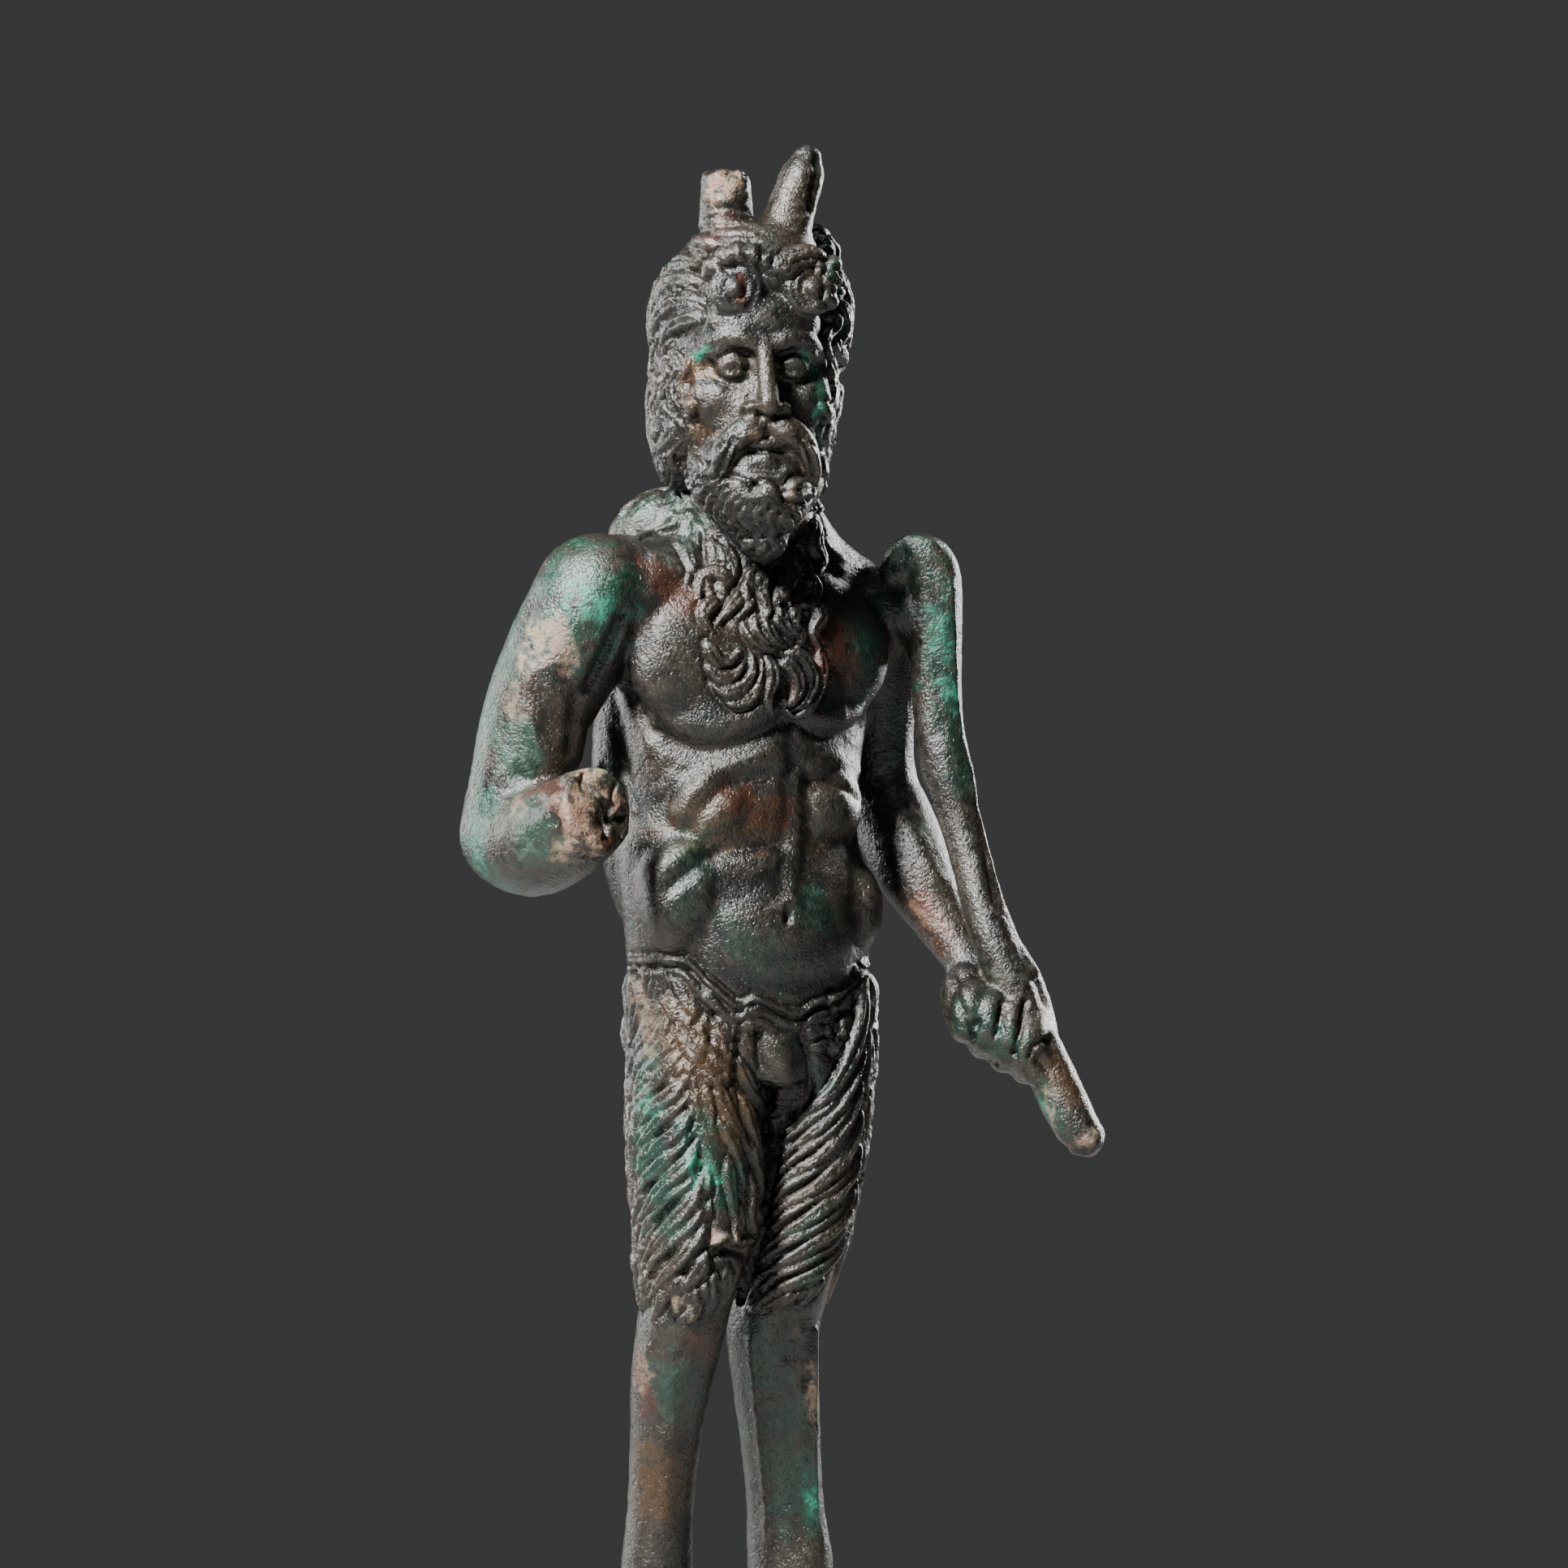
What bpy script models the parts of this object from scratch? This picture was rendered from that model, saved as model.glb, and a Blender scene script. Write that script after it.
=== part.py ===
"""A small cast bronze faun, standing on goat's legs with a throwing stick on its left arm, and its plinth.

The figure is drawn in millimetres for a height of 199, from the soles to the tip of the longer
horn, with X to the right and Y away from the viewer. It is scaled from that drawing to its real
height. The plinth has real sizes of its own, and carries the figure with a small gap.
"""

import math

import bmesh
import bpy
import numpy as np
from mathutils import Matrix, Vector
from mathutils.bvhtree import BVHTree

# Driving sizes, in metres
FIGURE_HEIGHT = 0.199
PLINTH_RADIUS = 0.031
PLINTH_HEIGHT = 0.012
PLINTH_LIP = 0.0022
PLINTH_WAIST = 0.0022
PLINTH_SIDES = 64
SEAT_GAP = 0.0003

# The drawing
DRAWN_HEIGHT = 199.0
BODY_YAW = math.radians(25)
HEAD_YAW = math.radians(10)
BODY_CENTRE = Vector((1.5, 0.0, 0.0))
HEAD_CENTRE = Vector((1.8, -3.0, 171.0))
SKIN_VOXEL = 0.7
CARVED_VOXEL = 0.6
FIGURE_TRIANGLES = 8600
CARVED_ABOVE = 132.0
CARVED_ACROSS = 13.0
RING_SIDES = 40
FAR = 200.0


def turned(yaw):
    """The directions to the figure's left and to its front for a part turned by yaw."""
    left = Vector((math.cos(yaw), math.sin(yaw), 0))
    front = Vector((math.sin(yaw), -math.cos(yaw), 0))
    return left, front


BODY_LEFT, BODY_FRONT = turned(BODY_YAW)
HEAD_LEFT, HEAD_FRONT = turned(HEAD_YAW)
UP = Vector((0, 0, 1))


def body(across, forward, height):
    """A point by its place across, in front of and above the body's own axis."""
    return BODY_CENTRE + BODY_LEFT * across + BODY_FRONT * forward + UP * height


def head(across, forward, height):
    """A point by its place across, in front of and above the middle of the head."""
    return HEAD_CENTRE + HEAD_LEFT * across + HEAD_FRONT * forward + UP * height


def clear_scene():
    for obj in list(bpy.data.objects):
        bpy.data.objects.remove(obj)


# Masses: simple closed shapes that overlap and are fused in one skin


def ball(mass, centre, radii, yaw=0.0, lean=0.0):
    """An ellipsoid, turned by yaw and leaning sideways by lean, in degrees."""
    turn = Matrix.Rotation(yaw, 4, "Z") @ Matrix.Rotation(math.radians(lean), 4, "Y")
    place = Matrix.Translation(centre) @ turn @ Matrix.Diagonal((*radii, 1))
    bmesh.ops.create_icosphere(mass, subdivisions=4, radius=1, matrix=place)


def skin_over(mass, rings):
    """Closes a row of rings with faces, and its two ends with a fan."""
    rows = [[mass.verts.new(point) for point in ring] for ring in rings]
    sides = len(rows[0])
    for low, high in zip(rows, rows[1:]):
        for i in range(sides):
            j = (i + 1) % sides
            mass.faces.new((low[i], low[j], high[j], high[i]))
    for row, flip in ((rows[0], True), (rows[-1], False)):
        middle = mass.verts.new(sum((v.co for v in row), Vector()) / sides)
        for i in range(sides):
            pair = (row[i], row[(i + 1) % sides])
            mass.faces.new((*(pair[::-1] if flip else pair), middle))


def trunk(mass, sections, yaw, square=2.0):
    """A stack of level ovals: height, middle X and Y, half width and half depth of each."""
    rows = smooth_rows(sections, 4)
    rings = []
    for height, x, y, wide, deep in rows:
        ring = []
        for i in range(RING_SIDES):
            angle = math.tau * i / RING_SIDES
            c, s = math.cos(angle), math.sin(angle)
            across = wide * math.copysign(abs(c) ** (2 / square), c)
            back = deep * math.copysign(abs(s) ** (2 / square), s)
            turned_x = across * math.cos(yaw) - back * math.sin(yaw)
            turned_y = across * math.sin(yaw) + back * math.cos(yaw)
            ring.append(Vector((x + turned_x, y + turned_y, height)))
        rings.append(ring)
    if rings[0][0].z > rings[-1][0].z:
        rings.reverse()
    skin_over(mass, rings)


def smooth_rows(rows, steps):
    """Rows of numbers on a smooth curve through the given rows."""
    rows = np.array(rows, float)
    padded = np.vstack([2 * rows[0] - rows[1], rows, 2 * rows[-1] - rows[-2]])
    found = []
    for a, b, c, d in zip(padded, padded[1:], padded[2:], padded[3:]):
        for t in np.arange(steps) / steps:
            found.append(
                0.5 * (2 * b + (c - a) * t + (2 * a - 5 * b + 4 * c - d) * t**2
                       + (3 * b - a - 3 * c + d) * t**3)
            )
    found.append(rows[-1])
    return np.array(found)


def limb(mass, stations, steps=4, blunt=False):
    """A round tapering limb: X, Y, Z and radius along it, with domed ends unless blunt."""
    rows = smooth_rows(stations, steps)
    points, radii = rows[:, :3], np.maximum(rows[:, 3], 0.2)
    along = np.gradient(points, axis=0)
    along /= np.linalg.norm(along, axis=1)[:, None]
    side = np.cross(along[0], (0.3, 0.9, 0.31))
    side /= np.linalg.norm(side)
    rings = []
    for point, radius, forward in zip(points, radii, along):
        side = side - forward * (side @ forward)
        side /= np.linalg.norm(side)
        other = np.cross(forward, side)
        turn = [math.tau * i / 24 for i in range(24)]
        rings.append([Vector(point + radius * (math.cos(a) * side + math.sin(a) * other)) for a in turn])
    skin_over(mass, rings)
    if not blunt:
        for end in (0, -1):
            ball(mass, points[end], (radii[end],) * 3)


def build_trunk(mass):
    trunk(mass, [
        (84, 1.8, 0.0, 14.2, 9.4), (87, 1.8, 0.0, 15.2, 10.2), (92, 1.7, 0.0, 15.5, 10.6),
        (99, 1.6, 0.0, 15.5, 10.8), (103, 2.0, 0.0, 16.2, 11.2), (107, 1.7, 0.0, 16.5, 11.2),
        (113, 0.4, 0.2, 15.6, 10.5), (119, 0.9, 0.2, 14.9, 10.0), (126, 1.2, 0.0, 15.5, 10.2),
        (133, 1.4, -0.3, 16.5, 10.4), (140, 1.6, -0.3, 17.0, 9.8), (145, 1.8, 0.2, 15.8, 8.6),
        (148, 2.0, 0.6, 13.2, 7.8), (151, 2.1, 0.2, 9.8, 7.2), (156, 2.1, -0.8, 7.9, 7.2),
        (162, 2.1, -2.0, 7.6, 7.4),
    ], BODY_YAW, 2.25)
    for side in (-1, 1):
        ball(mass, body(side * 7.8 - 0.4, 5.2, 135.6), (9.0, 4.7, 7.8), BODY_YAW)
        ball(mass, body(side * 8.0, -6.4, 137.5), (7.6, 4.2, 9.0), BODY_YAW)
        ball(mass, body(side * 6.0, -6.0, 90.5), (7.0, 6.4, 9.0), BODY_YAW)
    ball(mass, body(0.4, 4.6, 103.0), (12.5, 7.6, 10.5), BODY_YAW)
    ball(mass, body(12.6, 2.0, 104.8), (4.0, 7.0, 5.0), BODY_YAW)
    ball(mass, (-10.8, 0.6, 125.0), (8.5, 7.0, 12.0), BODY_YAW, -6)
    limb(mass, [(-16.8, -7.8, 143.2, 7.9), (-8.0, -3.4, 143.6, 7.4), (2.0, 1.2, 143.6, 7.2),
                (11.0, 5.0, 142.0, 6.6), (18.6, 8.6, 141.2, 5.8)])
    limb(mass, [(-8.0, 0.5, 147.5, 5.2), (-4.0, -0.5, 151.5, 5.6), (0.0, -1.5, 157.0, 6.0)])


def build_right_arm(mass):
    limb(mass, [(-17.8, -8.4, 141.8, 7.6), (-21.2, -8.5, 135.4, 7.2), (-24.2, -8.3, 128.8, 6.7),
                (-25.9, -7.9, 121.0, 6.7), (-26.6, -7.4, 114.4, 7.2)])
    limb(mass, [(-26.6, -7.2, 114.3, 7.1), (-24.0, -11.6, 113.5, 6.9), (-20.4, -16.0, 114.7, 6.2),
                (-17.4, -19.6, 116.8, 5.5), (-16.0, -21.4, 117.6, 5.3)], blunt=True)


def build_left_arm(mass):
    limb(mass, [(18.4, 8.8, 141.2, 6.0), (18.2, 10.5, 135.0, 5.2), (17.7, 12.0, 127.0, 4.6),
                (18.0, 12.8, 120.5, 4.8), (19.9, 11.6, 115.2, 5.2), (22.4, 9.0, 109.4, 4.9),
                (25.9, 6.0, 103.0, 3.4), (28.6, 3.4, 98.4, 2.7), (29.6, 1.6, 95.2, 3.0)])
    ball(mass, (29.9, 0.4, 93.2), (4.2, 4.4, 5.0), 0.0, -20)
    ball(mass, (33.6, -0.6, 91.6), (4.8, 4.2, 6.4), 0.0, -24)
    fingers = [((29.2, 95.0), (27.8, 89.8), 2.1), ((32.2, 94.0), (30.8, 87.4), 2.2),
               ((35.6, 92.6), (33.4, 85.4), 2.1), ((38.0, 89.6), (36.8, 84.0), 2.2)]
    for top, tip, thick in fingers:
        middle = ((top[0] + tip[0]) / 2 + 0.2, (top[1] + tip[1]) / 2)
        reach = -0.16 * (middle[0] - 28)
        limb(mass, [(top[0], -2.6 + reach, top[1], thick), (middle[0], -4.9 + reach, middle[1], thick),
                    (tip[0], -3.4 + reach, tip[1], thick * 0.92)])
    limb(mass, [(34.4, 0.2, 99.0, 2.0), (36.0, -1.2, 95.4, 2.2), (37.8, -2.6, 91.0, 2.0),
                (39.6, -3.8, 87.0, 1.8)])


def build_stick(mass):
    limb(mass, [(19.6, 3.4, 146.4, 1.8), (20.9, 3.0, 148.4, 2.3), (23.0, 2.8, 148.8, 2.7),
                (24.6, 3.0, 146.8, 3.2), (24.9, 3.4, 142.0, 3.3), (24.9, 3.6, 135.0, 3.2),
                (25.2, 3.4, 128.0, 3.1), (26.2, 2.8, 122.2, 3.2), (27.5, 2.2, 117.0, 2.7),
                (28.7, 1.2, 112.5, 2.5), (29.9, 0.0, 108.0, 2.6), (31.3, -1.4, 103.0, 2.8),
                (33.0, -2.6, 98.5, 2.8), (35.6, -3.4, 92.0, 2.7), (38.4, -4.4, 86.0, 2.9),
                (40.6, -5.2, 81.0, 3.0), (42.8, -6.0, 76.9, 2.6)])
    limb(mass, [(17.5, 5.6, 143.0, 4.2), (21.0, 4.8, 141.5, 3.4), (24.6, 4.2, 139.0, 3.0)])


def build_legs(mass):
    trunk(mass, [
        (96, -5.0, -2.5, 8.0, 8.6), (87, -4.8, -3.6, 7.9, 9.0), (77, -4.7, -4.8, 8.1, 8.6),
        (67, -4.5, -6.0, 7.4, 7.8), (61, -5.3, -6.6, 6.3, 7.2), (57, -5.9, -6.4, 5.7, 6.8),
        (53, -6.6, -5.8, 5.6, 6.4), (47, -7.7, -4.2, 5.0, 5.8), (39, -8.55, -2.0, 4.3, 5.2),
        (31, -9.15, 0.0, 4.05, 4.8), (26, -9.5, 1.0, 4.3, 5.0), (21, -9.7, 1.2, 4.4, 4.8),
        (16, -9.6, 0.4, 3.6, 3.8), (11, -9.5, -1.0, 3.4, 3.6), (6, -9.5, -2.4, 4.1, 4.2),
        (4, -9.5, -2.8, 4.0, 4.2),
    ], math.radians(12))
    trunk(mass, [
        (96, 9.2, 3.6, 7.4, 8.6), (87, 9.1, 3.0, 7.2, 8.6), (77, 8.5, 2.2, 7.2, 8.2),
        (67, 7.2, 1.2, 6.8, 7.6), (61, 6.2, 0.8, 6.1, 7.0), (57, 5.3, 1.0, 5.7, 6.6),
        (53, 4.7, 1.6, 5.4, 6.2), (47, 5.0, 3.0, 4.9, 6.1), (39, 5.65, 5.0, 4.4, 5.7),
        (31, 6.25, 6.8, 4.2, 5.6), (26, 6.7, 7.8, 4.6, 6.0), (22, 7.0, 8.0, 4.7, 5.8),
        (16, 7.6, 6.8, 3.9, 4.5), (11, 8.1, 5.6, 3.6, 3.9), (6, 8.7, 4.4, 4.2, 4.4),
        (4, 8.9, 4.1, 4.1, 4.4),
    ], math.radians(40))
    for x, y, yaw in ((-9.5, -2.6, math.radians(4)), (8.8, 4.2, math.radians(38))):
        left, front = turned(yaw)
        for side in (-1, 1):
            heel = Vector((x, y, 6.4)) + left * side * 1.7 - front * 0.6
            middle = Vector((x, y, 3.2)) + left * side * 2.2 + front * 1.2
            toe = Vector((x, y, -1.4)) + left * side * 2.7 + front * 3.4
            limb(mass, [(*heel, 2.2), (*middle, 2.9), (*toe, 3.3)])
            ball(mass, Vector((x, y, 8.6)) + left * side * 2.0 - front * 3.2, (1.3, 1.2, 1.6))


def build_head(mass):
    yaw = HEAD_YAW
    ball(mass, head(0, -0.6, 3.6), (11.0, 12.2, 13.6), yaw)
    ball(mass, head(0.2, -1.6, 5.6), (12.3, 10.6, 12.2), yaw)
    ball(mass, head(7.6, -2.6, 14.4), (3.6, 4.0, 4.4), yaw, 20)
    ball(mass, head(0, 4.0, -6.0), (8.4, 7.6, 9.6), yaw)
    ball(mass, head(-8.4, -1.0, -1.8), (3.3, 7.4, 12.6), yaw, 2)
    ball(mass, head(9.4, -1.8, 6.4), (3.0, 7.6, 7.4), yaw)
    ball(mass, head(7.4, -2.0, -5.0), (2.9, 6.4, 9.6), yaw)
    for side in (-1, 1):
        ball(mass, head(side * 6.6, 3.0, 0.0), (3.2, 5.6, 12.0), yaw)
    ball(mass, head(0, -6.4, -5.0), (9.6, 6.8, 13.6), yaw)
    ball(mass, (-8.6, 1.8, 151.6), (7.2, 5.6, 4.9), 0.0, -14)
    for side in (-1, 1):
        ball(mass, head(side * 5.0, 8.8, -4.6), (3.6, 3.2, 4.0), yaw)
        ball(mass, head(side * 9.6, 0.6, -3.6), (1.5, 2.6, 4.0), yaw, side * 8)
        limb(mass, [(*head(side * 0.8, 12.0, 3.2), 1.4), (*head(side * 3.8, 11.8, 4.2), 1.7),
                    (*head(side * 7.0, 9.2, 3.2), 1.3)])
        limb(mass, [(*head(side * 0.5, 13.2, -8.0), 1.5), (*head(side * 3.4, 13.2, -9.0), 2.0),
                    (*head(side * 5.9, 11.8, -12.2), 1.9), (*head(side * 6.6, 10.9, -15.4), 1.3)])
        ball(mass, head(side * 1.9, 13.0, -5.7), (1.5, 1.5, 1.3), yaw)
    limb(mass, [(*head(0, 11.4, 3.4), 1.5), (*head(0, 12.9, -1.0), 1.5), (*head(0, 14.0, -4.8), 1.9)])
    ball(mass, head(0, 13.0, -11.5), (2.4, 1.3, 1.1), yaw)
    ball(mass, head(-0.3, 7.4, -13.4), (8.6, 6.4, 6.4), yaw)
    limb(mass, [(*head(0, 8.4, -15.0), 6.6), (*head(0.2, 9.0, -18.4), 5.0), (*head(0.3, 9.4, -21.2), 2.8)])
    ball(mass, head(0, 5.2, 15.4), (7.4, 4.8, 3.6), yaw)


def build_horns(mass):
    for side in (-1, 1):
        coil = []
        for step in range(15):
            angle = math.radians(110 - 24 * step)
            radius = 2.7 - 0.1 * step
            spot = head(side * (-radius * math.cos(angle) + 4.9), 11.0 - 0.14 * abs(step - 6),
                        10.2 + radius * math.sin(angle))
            coil.append((*spot, 1.25 - 0.03 * step))
        limb(mass, coil, 2)
    limb(mass, [(-1.2, -6.6, 183.6, 3.8), (-1.1, -6.8, 188.0, 3.4), (-1.0, -6.8, 191.4, 3.2),
                (-1.0, -7.2, 194.9, 3.05)], blunt=True)
    limb(mass, [(5.6, -7.4, 183.0, 3.9), (6.2, -7.0, 187.6, 3.4), (7.2, -6.2, 191.6, 3.15),
                (8.4, -5.2, 195.0, 2.9), (8.5, -4.8, 197.6, 1.5)], blunt=False)


# Skin: the masses fused, eased and carved


def fused(mass, voxel):
    """One closed skin round all the masses."""
    mesh = bpy.data.meshes.new("mass")
    mass.to_mesh(mesh)
    mass.free()
    return reskinned(mesh, voxel)


def reskinned(mesh, voxel):
    """A fresh even skin on the same shape."""
    obj = bpy.data.objects.new("mass", mesh)
    bpy.context.scene.collection.objects.link(obj)
    remesh = obj.modifiers.new("Skin", "REMESH")
    remesh.mode = "VOXEL"
    remesh.voxel_size = voxel
    graph = bpy.context.evaluated_depsgraph_get()
    skin = bpy.data.meshes.new_from_object(obj.evaluated_get(graph))
    bpy.data.objects.remove(obj)
    return skin


def largest_shell(mesh):
    """Drops the small closed shells that fusing can leave inside."""
    work = bmesh.new()
    work.from_mesh(mesh)
    work.verts.ensure_lookup_table()
    unseen = set(work.verts)
    shells = []
    while unseen:
        seed = unseen.pop()
        shell, edge = {seed}, [seed]
        while edge:
            vertex = edge.pop()
            for link in vertex.link_edges:
                other = link.other_vert(vertex)
                if other in unseen:
                    unseen.discard(other)
                    shell.add(other)
                    edge.append(other)
        shells.append(shell)
    shells.sort(key=len)
    for shell in shells[:-1]:
        bmesh.ops.delete(work, geom=list(shell), context="VERTS")
    work.to_mesh(mesh)
    work.free()


def positions(mesh):
    co = np.empty(len(mesh.vertices) * 3, np.float32)
    mesh.vertices.foreach_get("co", co)
    return co.reshape(-1, 3).astype(float)


def place(mesh, co):
    mesh.vertices.foreach_set("co", co.astype(np.float32).ravel())
    mesh.update()


def directions(mesh):
    normals = np.empty(len(mesh.vertices) * 3, np.float32)
    mesh.vertex_normals.foreach_get("vector", normals)
    return normals.reshape(-1, 3).astype(float)


def ease(mesh, rounds, shrink=0.5, swell=-0.52):
    """Rounds the creases where masses meet, and keeps the volume."""
    ends = np.empty(len(mesh.edges) * 2, np.int32)
    mesh.edges.foreach_get("vertices", ends)
    a, b = ends.reshape(-1, 2).T
    co = positions(mesh)
    count = np.bincount(a, minlength=len(co)) + np.bincount(b, minlength=len(co))
    for step in range(rounds * 2):
        share = shrink if step % 2 == 0 else swell
        near = np.empty_like(co)
        for axis in range(3):
            column = co[:, axis]
            total = np.bincount(a, column[b], len(co)) + np.bincount(b, column[a], len(co))
            near[:, axis] = total / count
        co += share * (near - co)
    place(mesh, co)


class Carving:
    """Heights gathered over the skin, stroke by stroke, and raised along its normals at the end."""

    def __init__(self, mesh):
        self.mesh = mesh
        self.co = positions(mesh)
        self.out = directions(mesh)
        self.height = np.zeros(len(self.co))
        self.tree = BVHTree.FromPolygons(
            [Vector(p) for p in self.co], [tuple(f.vertices) for f in mesh.polygons]
        )

    def seen_from(self, start, way):
        hit = self.tree.ray_cast(Vector(start), Vector(way))[0]
        return None if hit is None else np.array(hit)

    def front(self, points):
        """Points of the skin that the viewer sees at each X and Z."""
        hits = [self.seen_from((x, -FAR, z), (0, 1, 0)) for x, z in points]
        return np.array([h for h in hits if h is not None])

    def back(self, points):
        hits = [self.seen_from((x, FAR, z), (0, -1, 0)) for x, z in points]
        return np.array([h for h in hits if h is not None])

    def around(self, axis, points):
        """Points of the skin by their bearing round an upright axis, 0 at the viewer, and height."""
        found = []
        for bearing, z in points:
            angle = math.radians(bearing)
            away = Vector((math.sin(angle), -math.cos(angle), 0))
            start = Vector((axis[0], axis[1], z)) + away * 26
            hit = self.seen_from(start, -away)
            if hit is not None:
                found.append(hit)
        return np.array(found)

    def near(self, path, reach):
        """For the points of the skin by a path: which, how far along, beside and off it."""
        low, high = path.min(0) - reach, path.max(0) + reach
        which = np.flatnonzero(((self.co > low) & (self.co < high)).all(1))
        if not len(which):
            return which, None, None, None
        spots, outward = self.co[which], self.out[which]
        starts, runs = path[:-1], np.diff(path, axis=0)
        lengths = np.linalg.norm(runs, axis=1)
        before = np.concatenate([[0], np.cumsum(lengths)])
        best = np.full(len(which), 1e9)
        along = np.zeros(len(which))
        beside = np.zeros(len(which))
        for start, run, length, done in zip(starts, runs, lengths, before):
            if length < 1e-6:
                continue
            unit = run / length
            rel = spots - start
            t = np.clip(rel @ unit, 0, length)
            off = rel - t[:, None] * unit
            far = np.linalg.norm(off, axis=1)
            closer = far < best
            best[closer] = far[closer]
            along[closer] = (done + t[closer]) / before[-1]
            side = np.einsum("ij,ij->i", off, np.cross(outward, unit))
            beside[closer] = side[closer]
        keep = best < reach
        return which[keep], along[keep], beside[keep], best[keep]

    def press(self, path, reach, height):
        """Raises or sinks a soft band along a path."""
        if len(path) < 2:
            return
        which, _, _, far = self.near(smooth_rows(path, 4), reach * 2)
        if len(which):
            self.height[which] += height * np.exp(-((far / reach) ** 2) * 1.4)

    def lock(self, path, width, height, strands=2, sink=0.35):
        """Lays a tapering lock along a path, over what is there, with grooves between its strands."""
        if len(path) < 3:
            return
        which, along, beside, far = self.near(smooth_rows(path, 4), width * 1.5)
        if not len(which):
            return
        swell = np.clip(along / 0.18, 0, 1) ** 0.6
        taper = np.clip((1 - along) / 0.55, 0, 1) ** 0.75
        half = np.maximum(width * (0.25 + 0.75 * swell) * (0.12 + 0.88 * taper), 0.05)
        share = np.sign(beside) * np.sqrt(far**2) / half
        inside = np.clip((1.12 - np.abs(share)) / 0.24, 0, 1)
        crown = np.sqrt(np.clip(1 - share**2, 0, 1))
        grooves = 0.5 + 0.5 * np.cos(math.pi * strands * (share + 1))
        body_height = height * (0.35 + 0.65 * swell) * (0.4 + 0.6 * taper) * crown
        carved = body_height * (1 - 0.45 * grooves * (np.abs(share) < 0.9)) - sink * height * (1 - crown) ** 2
        self.height[which] = self.height[which] * (1 - inside) + carved * inside
        rim = np.exp(-(((np.abs(share) - 1.15) / 0.22) ** 2)) * (along < 0.97)
        self.height[which] -= sink * height * rim * (1 - inside)

    def apply(self):
        place(self.mesh, self.co + self.out * self.height[:, None])


def between(first, last, count):
    """Guides spread evenly from the first to the last."""
    first, last = np.array(first, float), np.array(last, float)
    return [first + (last - first) * k / max(count - 1, 1) for k in range(count)]


def carve_torso(clay):
    front = clay.front
    clay.press(front([(-11.5, 131.0), (-8.5, 127.6), (-3.5, 125.2), (1.0, 125.0), (5.0, 127.4)]), 1.7, -1.1)
    clay.press(front([(8.2, 128.0), (11.5, 126.4), (14.5, 127.2)]), 1.5, -0.9)
    clay.press(front([(6.2, 145), (6.8, 136), (7.0, 128)]), 1.4, -0.5)
    clay.press(front([(-7.0, 118.0), (-4.0, 121.6), (0.0, 123.2), (4.6, 122.6)]), 1.7, 0.9)
    clay.press(front([(-6.2, 115.0), (-2.4, 119.2), (2.0, 120.4), (5.4, 119.4)]), 1.2, -0.8)
    clay.press(front([(-7.6, 107.6), (-4.6, 110.8), (0.6, 113.6), (6.0, 113.4)]), 1.4, -1.1)
    clay.press(front([(-6.4, 111.6), (-2.0, 114.6), (3.4, 116.4)]), 1.9, 0.7)
    clay.press(front([(8.0, 121.4), (8.2, 114), (7.6, 108)]), 0.9, 0.5)
    clay.press(front([(6.4, 120.4), (6.6, 113), (6.2, 107.4)]), 0.9, -0.7)
    clay.press(front([(9.6, 120.8), (10.0, 114), (9.4, 108)]), 0.9, -0.7)
    clay.press(front([(9.6, 123.4), (12.4, 122.0), (15.2, 120.4)]), 1.3, 0.8)
    clay.press(front([(10.2, 119.4), (13.0, 117.2), (15.4, 116.6)]), 1.1, -0.7)
    clay.press(front([(10.4, 113.8), (13.0, 112.4), (15.0, 113.0)]), 1.1, -0.6)
    clay.press(front([(7.0, 105.2), (7.0, 103.4)]), 1.2, -1.4)
    clay.press(front([(-13.0, 100.2), (-8.0, 98.6), (-3.0, 95.2), (2.0, 93.4), (7.0, 93.4)]), 1.3, -0.7)
    clay.press(front([(10.0, 147.6), (14.0, 144.6), (17.2, 143.4)]), 1.3, 0.7)
    clay.press(front([(-9.4, 147.0), (-5.0, 145.6), (-1.0, 146.6)]), 1.2, -0.5)
    back = clay.back
    clay.press(back([(2.0, 148), (1.4, 135), (0.6, 120), (0.2, 108), (1.2, 98)]), 1.8, -1.4)
    for side in (-1, 1):
        middle = 1.2
        clay.press(back([(middle + side * 3.4, 146), (middle + side * 7.4, 138), (middle + side * 3.6, 128)]),
                   1.6, -0.7)
        clay.press(back([(middle + side * 3.0, 122), (middle + side * 3.0, 112), (middle + side * 3.4, 103)]),
                   2.0, 0.7)


def carve_arms(clay):
    front = clay.front
    clay.press(front([(-13.6, 140.6), (-15.6, 134.4), (-18.4, 129.6)]), 1.3, -0.6)
    clay.press(front([(-26.0, 131), (-24.6, 127), (-24.6, 122)]), 1.6, 0.4)
    stump = front([(-18.6, 118.6), (-16.6, 115.6), (-14.8, 118.8), (-17.0, 120.6), (-17.4, 117.6)])
    for spot, lift in zip(stump, (0.7, -0.8, 0.6, 0.4, -0.9)):
        clay.press(np.array([spot, spot + 0.3]), 1.5, lift)
    for x, z in ((29.0, 93.6), (31.8, 92.2), (34.8, 90.6)):
        clay.press(front([(x, z + 2.4), (x - 1.2, z - 1.6), (x - 2.2, z - 5.0)]), 0.8, -0.9)
    clay.press(front([(28.6, 124.6), (29.4, 119.0), (31.0, 113.0), (33.0, 106.6)]), 1.0, 0.5)


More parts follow.
